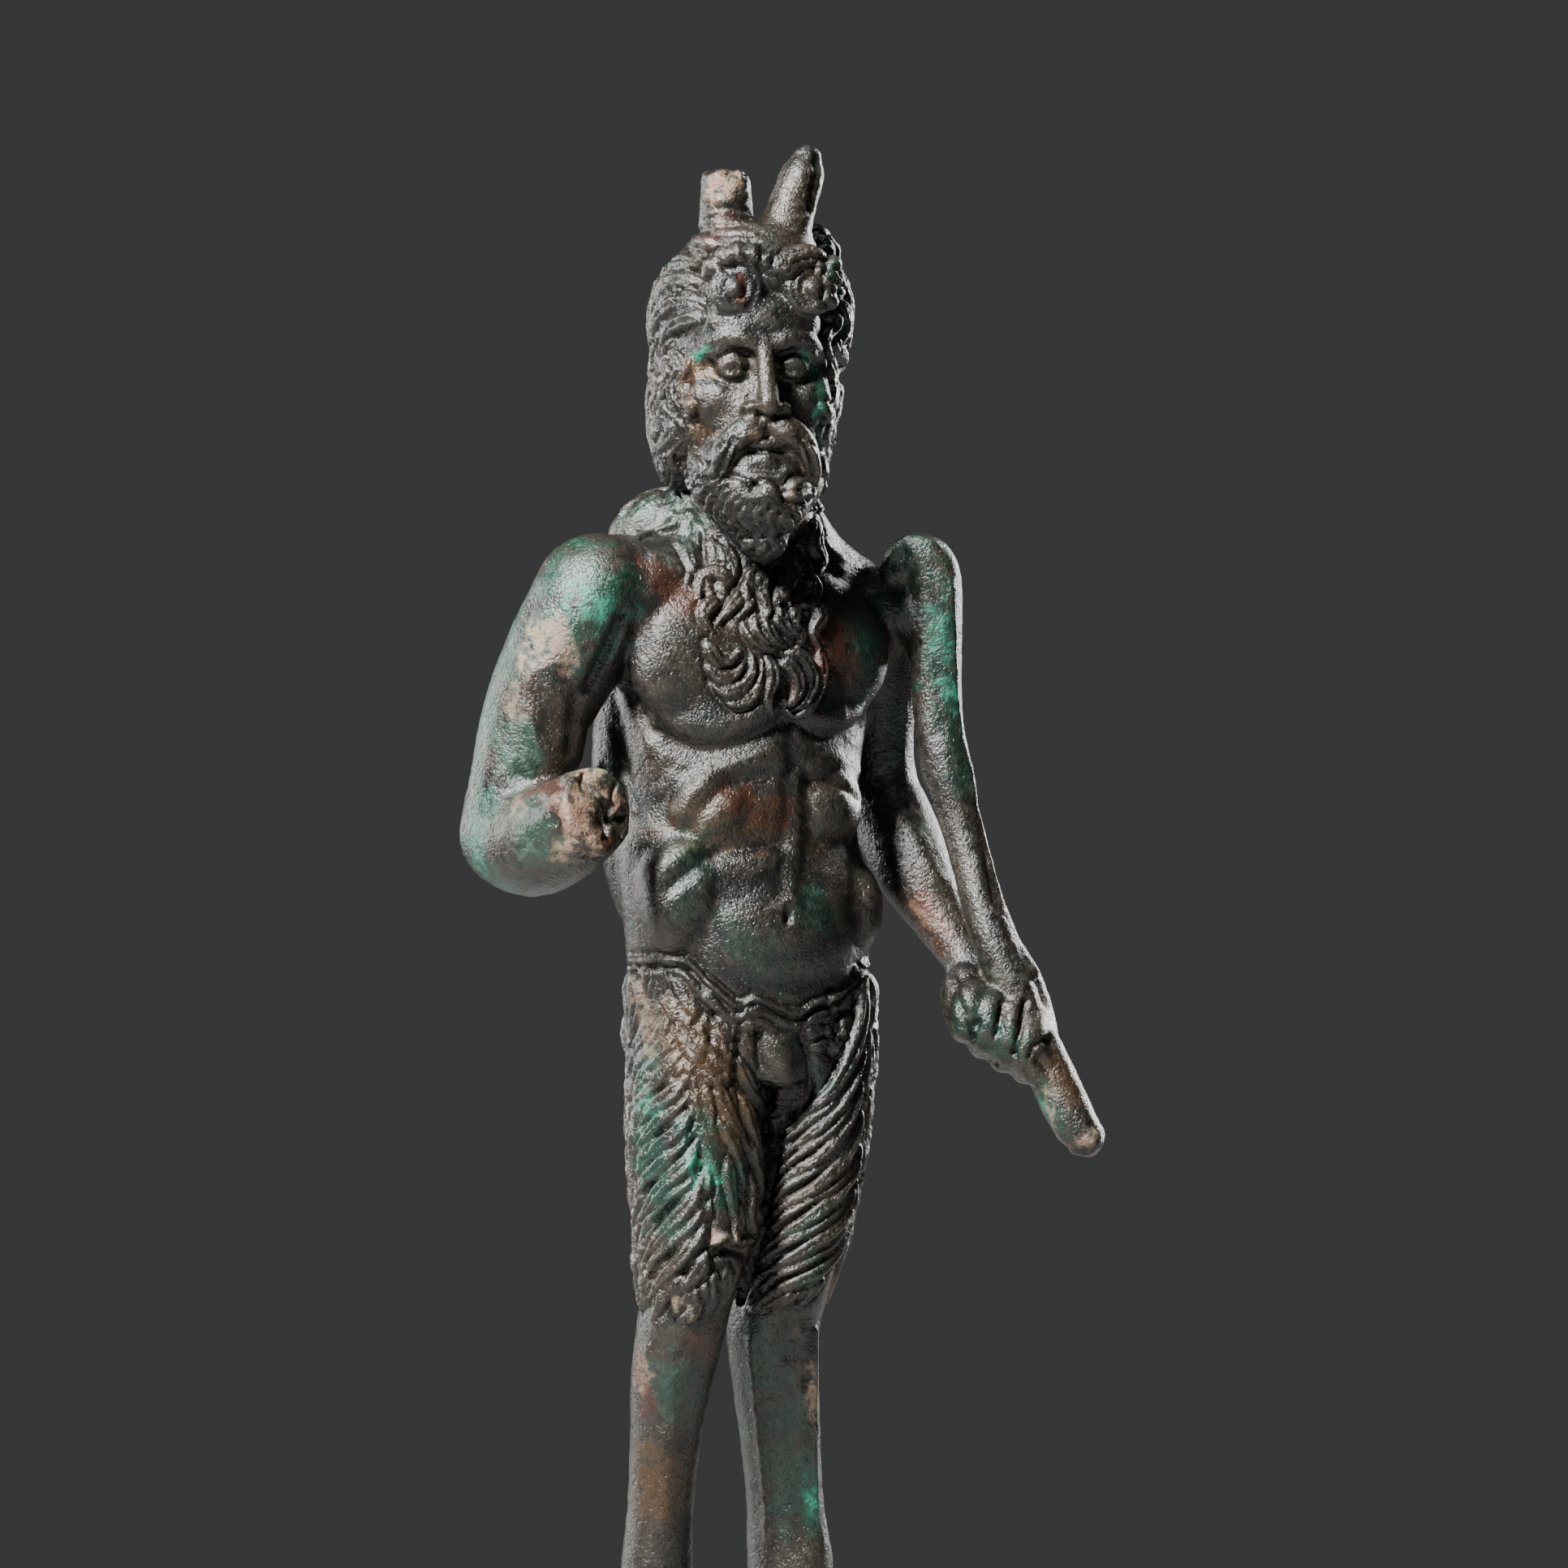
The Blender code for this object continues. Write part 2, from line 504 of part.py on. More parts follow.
def carve_face(clay):
    def on_face(points):
        return clay.front([(HEAD_CENTRE.x + 1.9 + w, HEAD_CENTRE.z + h) for w, h in points])

    for side in (-1, 1):
        clay.press(on_face([(side * 2.2, 0.8), (side * 4.2, 0.9), (side * 6.2, 0.4)]), 1.6, -1.5)
        clay.press(on_face([(side * 3.4, -0.1), (side * 5.0, -0.1)]), 1.2, 0.8)
        clay.press(on_face([(side * 2.4, -0.6), (side * 4.2, -1.3), (side * 6.0, -0.8)]), 0.7, -0.4)
        clay.press(on_face([(side * 1.2, 3.0), (side * 3.8, 4.0), (side * 6.8, 3.0)]), 1.0, 0.6)
        clay.press(on_face([(side * 3.2, -5.0), (side * 4.6, -7.4)]), 0.8, -0.6)
    clay.press(on_face([(-5.0, 6.0), (0, 5.4), (4.6, 6.2)]), 0.9, -0.5)
    clay.press(on_face([(-1.8, -10.4), (0, -10.2), (1.8, -10.4)]), 0.6, -0.9)
    clay.press(on_face([(-2.0, -12.8), (0, -13.0), (2.0, -12.8)]), 0.8, -0.6)


def carve_hair(clay):
    axis = (HEAD_CENTRE.x, HEAD_CENTRE.y)
    crown = HEAD_CENTRE.z
    for tier, top, fall, count, width in ((0, -1.0, 16.0, 16, 2.6), (1, 8.0, 13.0, 15, 2.5),
                                          (2, 14.0, 9.0, 13, 2.3)):
        for k in range(count):
            bearing = 68 + 224 * (k + 0.5 * (tier % 2)) / (count - 1)
            sway = 9 * math.sin(1.7 * k + tier)
            path = clay.around(axis, [
                (bearing, crown + top), (bearing + sway, crown + top - fall * 0.35),
                (bearing - sway * 0.8, crown + top - fall * 0.7), (bearing + sway * 0.6, crown + top - fall)])
            clay.lock(path, width, 0.9, 2)
    for k in range(9):
        x = -7.0 + 2.2 * k
        bend = 0.9 if k % 2 else -0.9
        clay.lock(clay.front([(x * 0.5 + 1.2, 187.4 - abs(x) * 0.12), (x * 0.78 + 1.5 + bend, 184.6),
                              (x + 1.8, 181.8 - abs(x) * 0.2)]), 1.5, 0.7, 2)
    left = between([(-5.2, 161.0), (-5.8, 157.0), (-3.0, 152.6), (-0.6, 150.2)],
                   [(3.0, 158.4), (3.0, 155.0), (3.2, 151.6), (3.0, 148.4)], 5)
    right = between([(10.6, 161.0), (11.0, 157.0), (8.4, 152.6), (5.8, 150.2)],
                    [(4.6, 158.4), (4.4, 155.0), (4.0, 151.6), (3.4, 148.4)], 4)
    for k, path in enumerate(left + right):
        path[1:3, 0] += 0.7 * (-1) ** k
        clay.lock(clay.front(path), 2.1, 0.9, 2)
    for side in (-1, 1):
        middle = HEAD_CENTRE.x + 1.7
        clay.lock(clay.front([(middle + side * 0.4, 162.9), (middle + side * 3.2, 162.2),
                              (middle + side * 5.4, 159.6), (middle + side * 5.9, 156.2)]), 1.5, 0.8, 3)


def carve_chest_fur(clay):
    left = between([(-4.0, 152.0), (-6.2, 148.6), (-5.4, 145.4), (-3.2, 142.6)],
                   [(1.0, 150.0), (-0.4, 146.6), (0.6, 143.6), (2.2, 141.6)], 3)
    low = between([(-2.6, 143.4), (-3.4, 140.4), (-2.0, 137.2), (1.4, 134.8)],
                  [(6.6, 143.2), (6.2, 139.8), (6.4, 136.8), (5.4, 133.0)], 5)
    right = between([(10.2, 150.2), (10.4, 146.6), (9.2, 143.6), (10.4, 140.8)],
                    [(9.0, 144.4), (10.4, 141.0), (9.4, 137.4), (6.8, 134.4)], 4)
    middle = between([(2.6, 149.6), (3.8, 146.8), (2.8, 144.2), (4.4, 141.6)],
                     [(7.0, 149.6), (7.8, 146.8), (6.6, 144.2), (8.0, 141.6)], 3)
    for path in low + left + right + middle:
        clay.lock(clay.front(path), 1.5, 0.9, 2)


def carve_legs(clay):
    front = clay.front
    right_axis, left_axis = (-4.8, -5.0), (8.4, 2.0)
    for axis, low, high, first, last in ((right_axis, 58, 92, 100, 300), (left_axis, 58, 92, 60, 262)):
        for row in range(6):
            top = high - row * (high - low - 10) / 5
            count = 7
            for k in range(count):
                bearing = first + (last - first) * (k + 0.5 * (row % 2)) / count
                clay.lock(clay.around(axis, [(bearing, top), (bearing + 11, top - 4.0),
                                             (bearing + 2, top - 8.0), (bearing + 10, top - 11.5)]),
                          2.5, 0.9, 2)
    sweeps = [
        (between([(-1.4, 92.0), (-3.6, 88.6), (-8.0, 85.6), (-11.6, 80.6)],
                 [(-2.6, 67.4), (-4.4, 64.2), (-7.4, 62.4), (-9.4, 58.4)], 9), 1.9),
        (between([(-5.6, 93.0), (-2.4, 89.8), (0.8, 86.2), (3.2, 82.6)],
                 [(-4.6, 70.0), (-2.0, 66.6), (0.2, 63.4), (1.0, 60.0)], 7), 1.7),
        (between([(15.6, 94.0), (13.2, 89.8), (10.6, 86.6), (8.6, 81.6)],
                 [(14.4, 64.6), (11.6, 60.8), (7.8, 59.6), (3.0, 57.6)], 10), 1.9),
    ]
    for paths, width in sweeps:
        for path in paths:
            clay.lock(front(path), width, 0.9, 2)
    for k in range(6):
        x = -8.8 + 2.1 * k
        clay.lock(front([(x + 0.6, 64.4), (x + 0.2, 61.0), (x - 0.4, 57.0 + 0.6 * (k % 2))]), 1.7, 0.9, 2)
    border = [(-11.6, 98.4), (-8.4, 98.6), (-5.0, 97.6), (-2.4, 95.2), (1.0, 93.8), (4.0, 93.4),
              (7.0, 92.8), (10.0, 93.4), (13.0, 94.8), (15.4, 97.0)]
    clay.press(front(border), 0.9, 0.8)
    clay.press(front([(x, z + 1.4) for x, z in border]), 0.8, -0.5)
    clay.press(front([(5.2, 78.0), (3.4, 70.0), (0.6, 62.0)]), 1.1, -0.9)
    clay.press(front([(5.8, 88.0), (6.0, 85.6), (6.2, 83.6)]), 2.0, 1.2)
    clay.press(front([(3.2, 87.0), (3.8, 83.4), (5.6, 81.0)]), 0.9, -0.9)
    clay.press(front([(8.6, 87.0), (8.4, 83.6), (7.0, 81.0)]), 0.9, -0.9)


def standing_flat(mesh):
    """Cuts the soles level at the height of the plinth's top."""
    work = bmesh.new()
    work.from_mesh(mesh)
    everything = work.verts[:] + work.edges[:] + work.faces[:]
    bmesh.ops.bisect_plane(work, geom=everything, plane_co=(0, 0, 0), plane_no=(0, 0, 1), clear_inner=True)
    rims = [e for e in work.edges if e.is_boundary]
    bmesh.ops.holes_fill(work, edges=rims)
    bmesh.ops.triangulate(work, faces=work.faces[:])
    work.to_mesh(mesh)
    work.free()


def lightened(mesh, triangles):
    """The same skin in about so many triangles, finer on the head and chest than on plain skin."""
    obj = bpy.data.objects.new("light", mesh)
    bpy.context.scene.collection.objects.link(obj)
    plain = obj.vertex_groups.new(name="plain")
    for vertex in mesh.vertices:
        carved = vertex.co.z > CARVED_ABOVE and abs(vertex.co.x - HEAD_CENTRE.x) < CARVED_ACROSS
        plain.add([vertex.index], 0.25 if carved else 1.0, "REPLACE")
    count = len(mesh.polygons)
    reduce = obj.modifiers.new("Lighter", "DECIMATE")
    reduce.vertex_group = "plain"
    reduce.vertex_group_factor = 1.0
    reduce.ratio = min(1.0, triangles / count)
    graph = bpy.context.evaluated_depsgraph_get()
    light = bpy.data.meshes.new_from_object(obj.evaluated_get(graph))
    bpy.data.objects.remove(obj)
    return light


def bronze(name, colour, roughness):
    material = bpy.data.materials.new(name)
    material.use_nodes = True
    surface = material.node_tree.nodes["Principled BSDF"]
    surface.inputs["Base Color"].default_value = (*colour, 1)
    surface.inputs["Roughness"].default_value = roughness
    surface.inputs["Metallic"].default_value = 1.0
    return material


def add_part(name, mesh, material):
    mesh.name = name
    mesh.materials.clear()
    mesh.materials.append(material)
    obj = bpy.data.objects.new(name, mesh)
    bpy.context.scene.collection.objects.link(obj)
    return obj


def build_figure():
    mass = bmesh.new()
    for build in (build_trunk, build_right_arm, build_left_arm, build_stick, build_legs, build_head,
                  build_horns):
        build(mass)
    skin = fused(mass, SKIN_VOXEL)
    ease(skin, 6)
    clay = Carving(skin)
    for carve in (carve_torso, carve_arms, carve_face, carve_hair, carve_chest_fur, carve_legs):
        carve(clay)
    clay.apply()
    skin = reskinned(skin, CARVED_VOXEL)
    largest_shell(skin)
    standing_flat(skin)
    light = lightened(skin, FIGURE_TRIANGLES)
    scale = FIGURE_HEIGHT / DRAWN_HEIGHT
    light.transform(Matrix.Translation((0, 0, PLINTH_HEIGHT + SEAT_GAP)) @ Matrix.Scale(scale, 4))
    return add_part("faun", light, bronze("faun_bronze", (0.055, 0.05, 0.042), 0.42))


def build_plinth():
    """A low round base: a foot, a hollow waist and an upper moulding, turned about Z."""
    ledge = PLINTH_HEIGHT * 0.32
    top_edge = PLINTH_HEIGHT * 0.66
    top_radius = PLINTH_RADIUS - PLINTH_LIP
    profile = [(PLINTH_RADIUS - 0.0005, 0.0), (PLINTH_RADIUS, 0.0005), (PLINTH_RADIUS, ledge - 0.0006),
               (PLINTH_RADIUS - 0.0006, ledge)]
    for step in range(5):
        share = step / 4
        hollow = PLINTH_WAIST * math.sin(math.pi * share)
        profile.append((top_radius - 0.001 - hollow, ledge + 0.0003 + (top_edge - ledge - 0.0006) * share))
    middle, half = (top_edge + PLINTH_HEIGHT) / 2, (PLINTH_HEIGHT - top_edge) / 2
    for step in range(5):
        angle = math.radians(-80 + 160 * step / 4)
        profile.append((top_radius - half + half * math.cos(angle), middle + half * math.sin(angle)))
    profile.append((top_radius - 1.4 * half, PLINTH_HEIGHT))
    work = bmesh.new()
    rings = []
    for radius, z in profile:
        turn = [math.tau * i / PLINTH_SIDES for i in range(PLINTH_SIDES)]
        rings.append([work.verts.new((radius * math.cos(a), radius * math.sin(a), z)) for a in turn])
    for low, high in zip(rings, rings[1:]):
        for i in range(PLINTH_SIDES):
            j = (i + 1) % PLINTH_SIDES
            work.faces.new((low[i], low[j], high[j], high[i]))
    work.faces.new(rings[0][::-1])
    work.faces.new(rings[-1])
    mesh = bpy.data.meshes.new("plinth")
    work.to_mesh(mesh)
    work.free()
    return add_part("plinth", mesh, bronze("plinth_bronze", (0.06, 0.05, 0.038), 0.5))


clear_scene()
build_plinth()
build_figure()
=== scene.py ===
import math

import bpy
import numpy as np
from mathutils import Matrix, Vector, noise
from mathutils.bvhtree import BVHTree


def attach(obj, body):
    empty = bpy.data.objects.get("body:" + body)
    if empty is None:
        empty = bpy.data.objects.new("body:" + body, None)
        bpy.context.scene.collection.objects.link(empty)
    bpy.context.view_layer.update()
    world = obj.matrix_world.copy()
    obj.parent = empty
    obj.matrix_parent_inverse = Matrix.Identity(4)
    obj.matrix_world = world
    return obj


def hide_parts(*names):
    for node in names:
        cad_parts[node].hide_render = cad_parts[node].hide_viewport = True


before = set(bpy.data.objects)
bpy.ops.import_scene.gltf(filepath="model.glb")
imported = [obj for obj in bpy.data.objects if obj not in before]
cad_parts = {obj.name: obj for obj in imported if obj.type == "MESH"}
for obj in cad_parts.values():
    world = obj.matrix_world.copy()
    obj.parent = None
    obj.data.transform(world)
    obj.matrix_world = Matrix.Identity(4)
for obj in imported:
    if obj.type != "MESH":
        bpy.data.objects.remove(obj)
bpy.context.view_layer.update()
print("frame loaded")

# The figure is modelled in millimetres from the soles up, then scaled and set on the plinth.
figure = {
    "height": 0.199,  # soles to the longer horn's tip, metres
    "drawn": 199.0,
    "seat": 0.0123,  # height of the soles above the table
    "bodyTurn": 25.0,  # degrees to the viewer's right
    "headTurn": 10.0,
    "bodyAxis": (1.5, 0.0, 0.0),
    "headMiddle": (1.8, -3.0, 171.0),
    "roughVoxel": 0.55,
    "fineVoxel": 0.3,
    "faces": 190000,
    "photo": (905, 2170, 10),  # pixel column of X = 0, pixel row of the soles, pixels per millimetre
    "hooves": ((-9.5, -2.6, 4), (8.8, 4.2, 38)),  # X, Y and the way each points
    "stumpEnd": (-16.2, -21.4, 117.4),
    "stickEnd": (43.2, -6.2, 76.0),
    "hornEnds": ((-1.05, -7.4, 195.4), (9.2, -5.0, 194.8)),
    "locksOverBrow": (-3.7, 6.0),  # middles of the two volutes, across the head
}


def directions(turn):  # the figure's left and its front, turned from the viewer's by some degrees
    yaw = math.radians(turn)
    return Vector((math.cos(yaw), math.sin(yaw), 0)), Vector((math.sin(yaw), -math.cos(yaw), 0))


bodyLeft, bodyFront = directions(figure["bodyTurn"])
headLeft, headFront = directions(figure["headTurn"])
up = Vector((0, 0, 1))


def body(across, forward, height):
    return Vector(figure["bodyAxis"]) + bodyLeft * across + bodyFront * forward + up * height


def head(across, forward, height):
    return Vector(figure["headMiddle"]) + headLeft * across + headFront * forward + up * height


def inPhoto(x, y):  # a pixel of the photo as X and Z on the figure
    middle, soles, size = figure["photo"]
    return (x - middle) / size, (soles - y) / size


# Tools for roughing out: each adds one closed lump, and joinLumps makes one object of them.
lumps = []


def deselect():
    if bpy.context.object and bpy.context.object.mode != "OBJECT":
        bpy.ops.object.mode_set(mode="OBJECT")
    bpy.ops.object.select_all(action="DESELECT")


def pick(obj):
    deselect()
    obj.select_set(True)
    bpy.context.view_layer.objects.active = obj


def ball(centre, radii, turn=0.0, lean=0.0):
    bpy.ops.mesh.primitive_ico_sphere_add(
        subdivisions=4, radius=1, location=centre, scale=radii,
        rotation=(0, math.radians(lean), math.radians(turn)))
    lumps.append(bpy.context.object)


def smoothRows(rows, steps):  # rows on a smooth curve through the given ones
    rows = np.array(rows, float)
    padded = np.vstack([2 * rows[0] - rows[1], rows, 2 * rows[-1] - rows[-2]])
    found = []
    for a, b, c, d in zip(padded, padded[1:], padded[2:], padded[3:]):
        for t in np.arange(steps) / steps:
            found.append(0.5 * (2 * b + (c - a) * t + (2 * a - 5 * b + 4 * c - d) * t**2
                                + (3 * b - a - 3 * c + d) * t**3))
    found.append(rows[-1])
    return np.array(found)


def limb(stations, steps=5, blunt=False):  # X, Y, Z and radius at each station
    rows = smoothRows(stations, steps)
    curve = bpy.data.curves.new("limb", "CURVE")
    curve.dimensions = "3D"
    curve.bevel_depth = 1.0
    curve.bevel_resolution = 6
    curve.use_fill_caps = True
    spline = curve.splines.new("POLY")
    spline.points.add(len(rows) - 1)
    for point, row in zip(spline.points, rows):
        point.co = (*row[:3], 1)
        point.radius = max(row[3], 0.15)
    obj = bpy.data.objects.new("limb", curve)
    bpy.context.collection.objects.link(obj)
    lumps.append(obj)
    if not blunt:
        for row in (rows[0], rows[-1]):
            ball(row[:3], (max(row[3], 0.15),) * 3)


def stack(sections, turn):  # level ovals: height, middle X and Y, half width, half depth
    deselect()
    rings = []
    for height, x, y, wide, deep in smoothRows(sections, 3):
        bpy.ops.mesh.primitive_circle_add(vertices=56, radius=1, location=(x, y, height),
                                          rotation=(0, 0, math.radians(turn)))
        bpy.context.object.scale = (wide, deep, 1)
        rings.append(bpy.context.object)
    for ring in rings:
        ring.select_set(True)
    bpy.ops.object.join()
    bpy.ops.object.transform_apply(location=True, rotation=True, scale=True)
    bpy.ops.object.mode_set(mode="EDIT")
    bpy.ops.mesh.select_all(action="SELECT")
    bpy.ops.mesh.bridge_edge_loops()
    bpy.ops.mesh.select_all(action="SELECT")
    bpy.ops.mesh.fill_holes(sides=0)
    bpy.ops.mesh.select_all(action="SELECT")
    bpy.ops.mesh.normals_make_consistent(inside=False)
    bpy.ops.object.mode_set(mode="OBJECT")
    lumps.append(bpy.context.object)


def joinLumps(name):
    deselect()
    for obj in lumps:
        obj.select_set(True)
    bpy.context.view_layer.objects.active = lumps[0]
    bpy.ops.object.convert(target="MESH")
    bpy.context.view_layer.objects.active = bpy.context.selected_objects[0]
    bpy.ops.object.join()
    joined = bpy.context.object
    bpy.ops.object.transform_apply(location=True, rotation=True, scale=True)
    joined.name = name
    lumps.clear()
    return joined


def fuse(obj, voxel):  # one closed skin round everything in the object
    pick(obj)
    bpy.ops.object.modifier_add(type="REMESH")
    skin = obj.modifiers[-1]
    skin.mode = "VOXEL"
    skin.voxel_size = voxel
    bpy.ops.object.modifier_apply(modifier=skin.name)


def keepLargest(obj):  # drops the loose bits and returns the figure
    pick(obj)
    bpy.ops.object.mode_set(mode="EDIT")
    bpy.ops.mesh.select_all(action="SELECT")
    bpy.ops.mesh.separate(type="LOOSE")
    bpy.ops.object.mode_set(mode="OBJECT")
    pieces = sorted(bpy.context.selected_objects, key=lambda o: len(o.data.vertices))
    for piece in pieces[:-1]:
        bpy.data.objects.remove(piece)
    return pieces[-1]


def read(rows, what="co"):  # three numbers from each row of mesh data
    values = np.empty(len(rows) * 3, np.float32)
    rows.foreach_get(what, values)
    return values.reshape(-1, 3).astype(float)


def write(mesh, co):
    mesh.vertices.foreach_set("co", co.astype(np.float32).ravel())
    mesh.update()


def edgeEnds(mesh):  # first and second vertex of each edge
    ends = np.empty(len(mesh.edges) * 2, np.int32)
    mesh.edges.foreach_get("vertices", ends)
    return ends.reshape(-1, 2).T


def averaged(values, ends):  # mean of each vertex's neighbours
    a, b = ends
    count = np.maximum(np.bincount(a, minlength=len(values)) + np.bincount(b, minlength=len(values)), 1)
    columns = values.reshape(len(values), -1)
    found = np.empty_like(columns)
    for i in range(columns.shape[1]):
        column = columns[:, i]
        found[:, i] = (np.bincount(a, column[b], len(values)) + np.bincount(b, column[a], len(values))) / count
    return found.reshape(values.shape)


def ease(mesh, rounds):  # rounds creases and keeps the volume
    ends = edgeEnds(mesh)
    co = read(mesh.vertices)
    for step in range(rounds * 2):
        share = 0.5 if step % 2 == 0 else -0.52  # in, then out again
        co += share * (averaged(co, ends) - co)
    write(mesh, co)


brush = {
    "fall": 1.4,  # how fast a stroke fades
    "edge": 1.9,  # where it ends, in reaches
    "away": 200,  # rays start this far out, clear of the figure
    "seed": 7,
}


class Brush:  # places strokes on a skin, as relief or as tint
    def __init__(self, mesh):
        self.mesh = mesh
        self.co = read(mesh.vertices)
        self.out = read(mesh.vertex_normals, "vector")
        self.relief = np.zeros(len(self.co))
        self.tree = BVHTree.FromPolygons([Vector(p) for p in self.co], [tuple(f.vertices) for f in mesh.polygons])

    def cast(self, start, way):
        spot, normal = self.tree.ray_cast(Vector(start), Vector(way))[:2]
        return None if spot is None else (*spot, *normal)

    def kept(self, rows):
        return np.array([r for r in rows if r is not None])

    def front(self, points):  # X and Z as the viewer sees them
        return self.kept([self.cast((x, -brush["away"], z), (0, 1, 0)) for x, z in points])

    def back(self, points):
        return self.kept([self.cast((x, brush["away"], z), (0, -1, 0)) for x, z in points])

    def side(self, points):  # Y and Z seen from the viewer's left
        return self.kept([self.cast((-brush["away"], y, z), (1, 0, 0)) for y, z in points])

    def around(self, axis, points, reach=26):  # bearing round an upright axis, 0 at the viewer, and height
        rows = []
        for bearing, z in points:
            angle = math.radians(bearing)
            away = Vector((math.sin(angle), -math.cos(angle), 0))
            rows.append(self.cast(Vector((axis[0], axis[1], z)) + away * reach, -away))
        return self.kept(rows)

    def onto(self, points):  # nearest places on the skin
        found = [self.tree.find_nearest(Vector(point)) for point in points]
        return np.array([(*spot, *normal) for spot, normal, _, _ in found])

    def near(self, path, reach):  # vertices near a path: share of its length, way aside, distance
        low, high = path[:, :3].min(0) - reach, path[:, :3].max(0) + reach
        which = np.flatnonzero(((self.co > low) & (self.co < high)).all(1))
        best = np.full(len(which), 1e9)
        along, beside = np.zeros(len(which)), np.zeros(len(which))
        facing = np.ones(len(which))
        spots, outward = self.co[which], self.out[which]
        runs = np.diff(path[:, :3], axis=0)
        lengths = np.linalg.norm(runs, axis=1)
        done = np.concatenate([[0], np.cumsum(lengths)])
        for i, length in enumerate(lengths):
            if length < 1e-6:
                continue
            unit = runs[i] / length
            rel = spots - path[i, :3]
            t = np.clip(rel @ unit, 0, length)
            off = rel - t[:, None] * unit
            far = np.linalg.norm(off, axis=1)
            closer = far < best
            best[closer] = far[closer]
            along[closer] = (done[i] + t[closer]) / done[-1]
            beside[closer] = (off @ np.cross(path[i, 3:], unit))[closer]
            facing[closer] = (outward @ path[i, 3:])[closer]
        keep = (best < reach) & (facing > -0.1)
        return which[keep], along[keep], beside[keep], best[keep]

    def heap(self, which, far, reach, height):  # most at the middle, fading out
        self.relief[which] += height * np.exp(-((far / reach) ** 2) * brush["fall"])

    def press(self, path, reach, height):  # a soft ridge or groove
        if len(path) < 2:
            return
        which, _, _, far = self.near(smoothRows(path, 4), reach * brush["edge"])
        self.heap(which, far, reach, height)

    def presses(self, place, rows):  # path, reach and height of each
        for path, reach, height in rows:
            self.press(place(path), reach, height)

    def dab(self, path, reach, height):  # a soft bump or dent at each point
        for row in path:
            far = np.linalg.norm(self.co - row[:3], axis=1)
            which = np.flatnonzero(far < reach * brush["edge"])
            self.heap(which, far[which], reach, height)

    def dabs(self, rows):  # photo column and row, reach and height of each
        for x, y, reach, height in rows:
            self.dab(self.front([inPhoto(x, y)]), reach, height)

    def pit(self, middle, spread, count, reach, height):  # dabs strewn over a broken face
        for _ in range(count):
            spot = np.array(middle) + chance.uniform(-1, 1, 3) * spread
            self.dab(self.onto([spot]), chance.uniform(*reach), chance.uniform(*height))

    def lock(self, path, width, height, strands=3, keepUnder=0.35):  # a tapering lock of fine strands
        if len(path) < 3:
            return
        which, along, beside, far = self.near(smoothRows(path, 5), width * 1.5)
        if not len(which):
            return
        taper = np.clip((1 - along) / 0.6, 0, 1) ** 0.7
        swell = np.clip(along / 0.2, 0, 1)
        half = np.maximum(width * (0.55 + 0.45 * swell) * (0.06 + 0.94 * taper), 0.06)
        share = np.sign(beside) * far / half
        inside = np.clip((1.1 - np.abs(share)) / 0.2, 0, 1) * np.clip(along / 0.06, 0.15, 1)
        dome = np.sqrt(np.clip(1 - share**2, 0, 1))
        ridges = np.abs(np.sin(math.pi * strands * (np.clip(share, -1, 1) + 1) / 2)) ** 0.7
        strength = height * (0.5 + 0.5 * swell) * (0.45 + 0.55 * taper)
        profile = strength * (0.5 * dome + 0.5 * dome * ridges)
        under = self.relief[which]
        self.relief[which] = under * (1 - inside) + (keepUnder * under + profile) * inside
        rim = np.exp(-(((np.abs(share) - 1.2) / 0.2) ** 2)) * (along < 0.98)
        self.relief[which] -= 0.35 * height * rim * (1 - inside)

    def locks(self, place, paths, *shape):
        for path in paths:
            self.lock(place(path), *shape)

    def raiseRelief(self):
        write(self.mesh, self.co + self.out * self.relief[:, None])


def between(first, last, count):  # evenly spaced paths from the first to the last
    first, last = np.array(first, float), np.array(last, float)
    return [first + (last - first) * k / max(count - 1, 1) for k in range(count)]


chance = np.random.RandomState(brush["seed"])


def shaken(path, amount):  # the path with each point moved a little by chance
    return np.array(path, float) + chance.normal(0, amount, np.shape(path))


